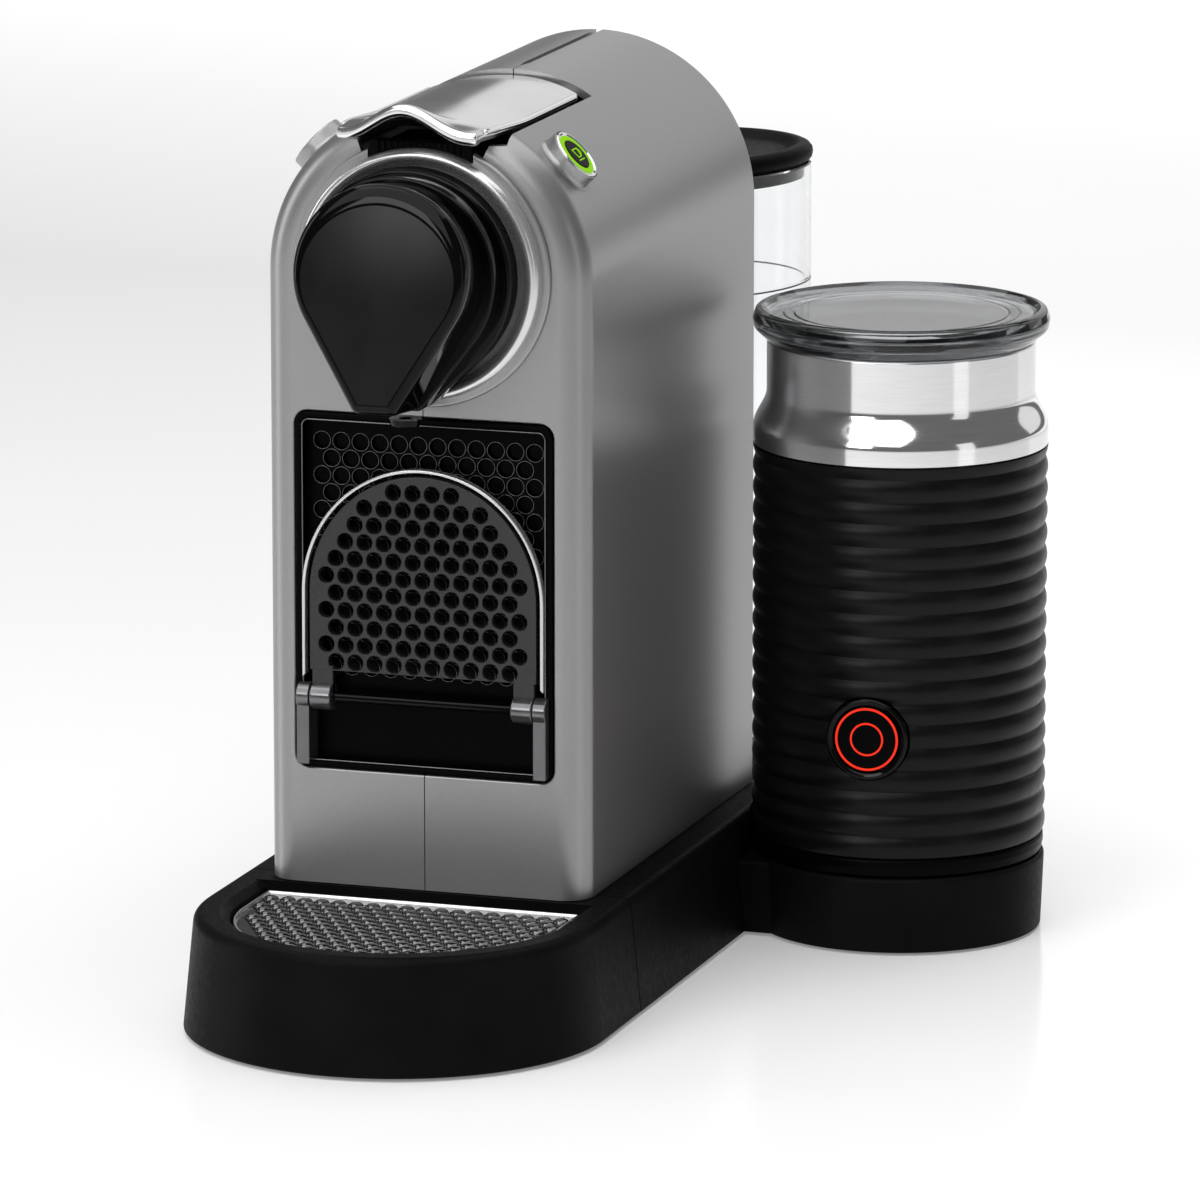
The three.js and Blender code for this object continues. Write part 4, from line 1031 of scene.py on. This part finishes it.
def make_jug():
    cup = profile(
        (0, 32, 0), (13.5, 32, 0), (13.5, 24.6, 0), (45.2, 24.6, 0.8), (45.9, 27.4, 2), (45.8, 30.2, 1),
        (42.8, 30.3, 0), (42.8, 36, 0), (0, 36, 0))
    bottom = lathe("jug_bottom", cup, 160, place=FROTHER)
    show(bottom, "panel_black", "jug", ["jug_bottom"])

    ribs = 17.5
    height = SLEEVE_TOP - SLEEVE_BOTTOM
    samples = 12 * int(ribs)
    wall = []
    for k in range(samples + 1):
        t = k / samples
        wave = abs(math.sin(math.pi * t * ribs)) ** 0.8
        wall.append((JUG_RADIUS - 1.05 + 1.05 * wave, SLEEVE_BOTTOM + height * t))
    sleeve = lathe("jug_sleeve", [(43.2, SLEEVE_BOTTOM)] + wall + [(43.2, SLEEVE_TOP)], 160, True, FROTHER)
    cut(sleeve, jug_button_hole(13.3))
    show(sleeve, "ribbed_black", "jug", ["jug_sleeve"], smooth=40)

    collar = [(JUG_RADIUS - 0.4, 154.9), (JUG_RADIUS, 155.3)]
    for k in range(17):
        blend = smoothstep(0, 1, k / 16)
        collar.append((JUG_RADIUS + (NECK_RADIUS - JUG_RADIUS) * blend, 160.0 + 11.5 * k / 16))
    inside = profile(
        (NECK_RADIUS, 172, 0), (NECK_RADIUS, NECK_TOP, 0.6), (39.8, NECK_TOP, 0.6), (39.8, 167, 3),
        (36.8, 156, 3), (36.8, 73, 3), (0, 73, 0))
    below = [(0, 70), (38.0, 70), (38.5, 70.5), (38.5, 150), (42.6, 152), (42.6, 154.9)]
    vessel = lathe("jug_vessel", below + collar + inside, 160, place=FROTHER)
    show(vessel, "polished_steel", "jug", ["jug_vessel"])


def make_jug_button():
    bezel = section((10.8, -6, 0), (13, -6, 0), (13, 0.9, 0.9), (10.8, 0.1, 0.5))
    show(lathe("jug_button_bezel", bezel, 96, True, jug_button_place(47)), "gloss_black", "jug",
         ["jug_button_bezel"])
    top = profile((0, -5, 0), (10.4, -5, 0), (10.4, -0.1, 0.5), (0, 0.15, 0))
    cap = lathe("jug_button", top, 96, place=jug_button_place(47))
    show(cap, "panel_black", "jug_key", ["jug_button"])
    for name, inner, outer in (("outer", 9.3, 10.0), ("inner", 4.7, 5.3)):
        light = section((inner, -0.3, 0), (outer, -0.3, 0), (outer, 0.16, 0.1), (inner, 0.2, 0.1))
        show(lathe("jug_light_" + name, light, 96, True, jug_button_place(47)), "red_ring", "jug_key")


def make_jug_lid():
    lid = profile(
        (0, 193.4, 0), (33.0, 193.4, 0.4), (34.4, 192.8, 0.5), (34.6, 181.4, 0.5), (37, 181.4, 0.5),
        (37, 188.2, 1), (42.6, 188.2, 1.5), (46.2, 191.6, 2.2), (46.7, 194.6, 1.6), (45.6, 197.6, 1.6),
        (43.6, 198, 0.8), (41.4, 196.3, 0.8), (37.6, 196.1, 0.2), (37.2, 195.6, 0.2), (36.8, 196.1, 0.2),
        (34.2, 196, 0.2), (33.8, 195.5, 0.2), (33.4, 196, 0.2), (0, 195.6, 0))
    show(lathe("jug_lid", lid, 160, place=FROTHER), "smoky_plastic", "jug_cover", ["jug_lid"])
    holder = bmesh.new()
    add_slab(holder, rounded_box(-7, 7, -5, 5, 1), 188.6, 193.1, 0.5)
    for x in (-9.5, 9.5):
        add_slab(holder, rounded_box(x - 1.6, x + 1.6, -2.4, 2.4, 0.8), 189.4, 193.1, 0.4)
    bmesh.ops.transform(holder, matrix=FROTHER @ at(2, 2), verts=holder.verts)
    show(as_object("lid_whisk_holder", holder), "dark_grey", "jug_cover")


def make_whisk():
    middle = Vector((FROTHER_X, 0, 77.5))
    wire = []
    turns = 26
    for k in range(turns * 10):
        around = 2 * math.pi * k / (turns * 10)
        coil = around * turns
        reach = 9.9 + 1.5 * math.cos(coil)
        out = Vector((reach * math.cos(around), reach * math.sin(around), 1.5 * math.sin(coil)))
        wire.append(middle + out)
    bm = bmesh.new()
    add_tube(bm, wire, 0.35, 6)
    add_lathe(bm, profile((0, 73.4, 0), (3.4, 73.4, 0.5), (3.4, 86, 1), (0, 86, 0)), 48, place=FROTHER)
    for turn in (0, math.pi / 2):
        spoke = Vector((math.cos(turn), math.sin(turn), 0)) * 9.4
        add_tube(bm, [middle - spoke, middle + spoke], 0.7, 10)
    show(as_object("whisk", bm), "steel", "whisk", ["whisk"])


make_jug()
make_jug_button()
make_jug_lid()
make_whisk()

# ------------------------------------------------------------------ pieces shown as their CAD shapes
CARRIED = {
    "black": ["base_plate", "flow_meter", "capsule_container", "tank_dock", "tank_valve"],
    "gloss_black": ["frother_dock", "cup_support_pin"],
    "rubber": ["foot_front_left", "foot_front_right", "foot_rear_left", "foot_rear_right", "foot_frother",
               "cord_gland", "dock_seal", "jug_lid_seal", "pump_mount_lower", "pump_mount_upper",
               "suction_hose"],
    "steel": ["base_screw_front_left", "base_screw_front_right", "base_screw_rear_left",
              "base_screw_rear_right", "lever_pin", "brew_piston", "lever_arms", "pump",
              "thermoblock", "frother_motor"],
    "grey_plastic": ["brew_frame", "inner_frame"],
    "board": ["control_board"],
    "clear_plastic": ["pressure_hose"],
}
for finish, names in CARRIED.items():
    for name in names:
        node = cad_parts[name]
        node.data.materials.clear()
        node.data.materials.append(LOOKS[finish].material)


# ------------------------------------------------------------------ floor and light
def make_floor():
    bm = bmesh.new()
    add_lathe(bm, [(0, -0.6), (6000, -0.6)], 64)
    mesh = bpy.data.meshes.new("floor")
    bmesh.ops.recalc_face_normals(bm, faces=bm.faces)
    bm.to_mesh(mesh)
    bm.free()
    floor = bpy.data.objects.new("floor", mesh)
    scene.collection.objects.link(floor)
    mesh.transform(TO_FRAME)
    finish = Look("floor", (0.86, 0.86, 0.86), 0.16).tone(3, 0.01).gloss(2, 0.01)
    finish.set(Emission_Color=WHITE)
    split = finish.tree.nodes.new("ShaderNodeSeparateXYZ")
    glow = finish.tree.nodes.new("ShaderNodeMapRange")
    finish.link(finish.place, split.inputs["Vector"])
    for name, value in (("From Min", 1.1), ("From Max", 2.2), ("To Min", 0.2), ("To Max", 0.8)):
        glow.inputs[name].default_value = value
    finish.link(split.outputs["Y"], glow.inputs["Value"])
    finish.link(glow.outputs["Result"], finish.shader.inputs["Emission Strength"])
    mesh.materials.append(finish.material)


def softbox(name, millimetres, size, power):
    """A soft light of size (width, height) in metres, aimed at the middle of the machine."""
    data = bpy.data.lights.new(name, "AREA")
    data.shape = "RECTANGLE"
    data.size, data.size_y = size
    data.energy = power
    lamp = bpy.data.objects.new(name, data)
    place = TO_FRAME @ Vector(millimetres)
    target = TO_FRAME @ Vector((20, -60, 130))
    lamp.location = place
    lamp.rotation_euler = (target - place).to_track_quat("-Z", "Y").to_euler()
    lamp.visible_camera = False
    scene.collection.objects.link(lamp)


def make_light():
    world = bpy.data.worlds.new("studio")
    world.use_nodes = True
    world.node_tree.nodes["Background"].inputs["Color"].default_value = WHITE
    world.node_tree.nodes["Background"].inputs["Strength"].default_value = 0.16
    scene.world = world
    softbox("top", (0, 300, 1900), (2.6, 2.6), 34)
    softbox("front", (-300, -1500, 1800), (2.6, 2.0), 36)
    softbox("face", (-600, -2400, 950), (0.8, 0.6), 9)
    softbox("right", (2400, -900, 500), (0.6, 1.3), 2)
    softbox("left", (-2200, -500, 700), (0.7, 1.4), 8)
    softbox("back", (650, 2600, 1000), (3.5, 1.3), 10)
    scene.view_settings.view_transform = "Standard"


make_floor()
make_light()
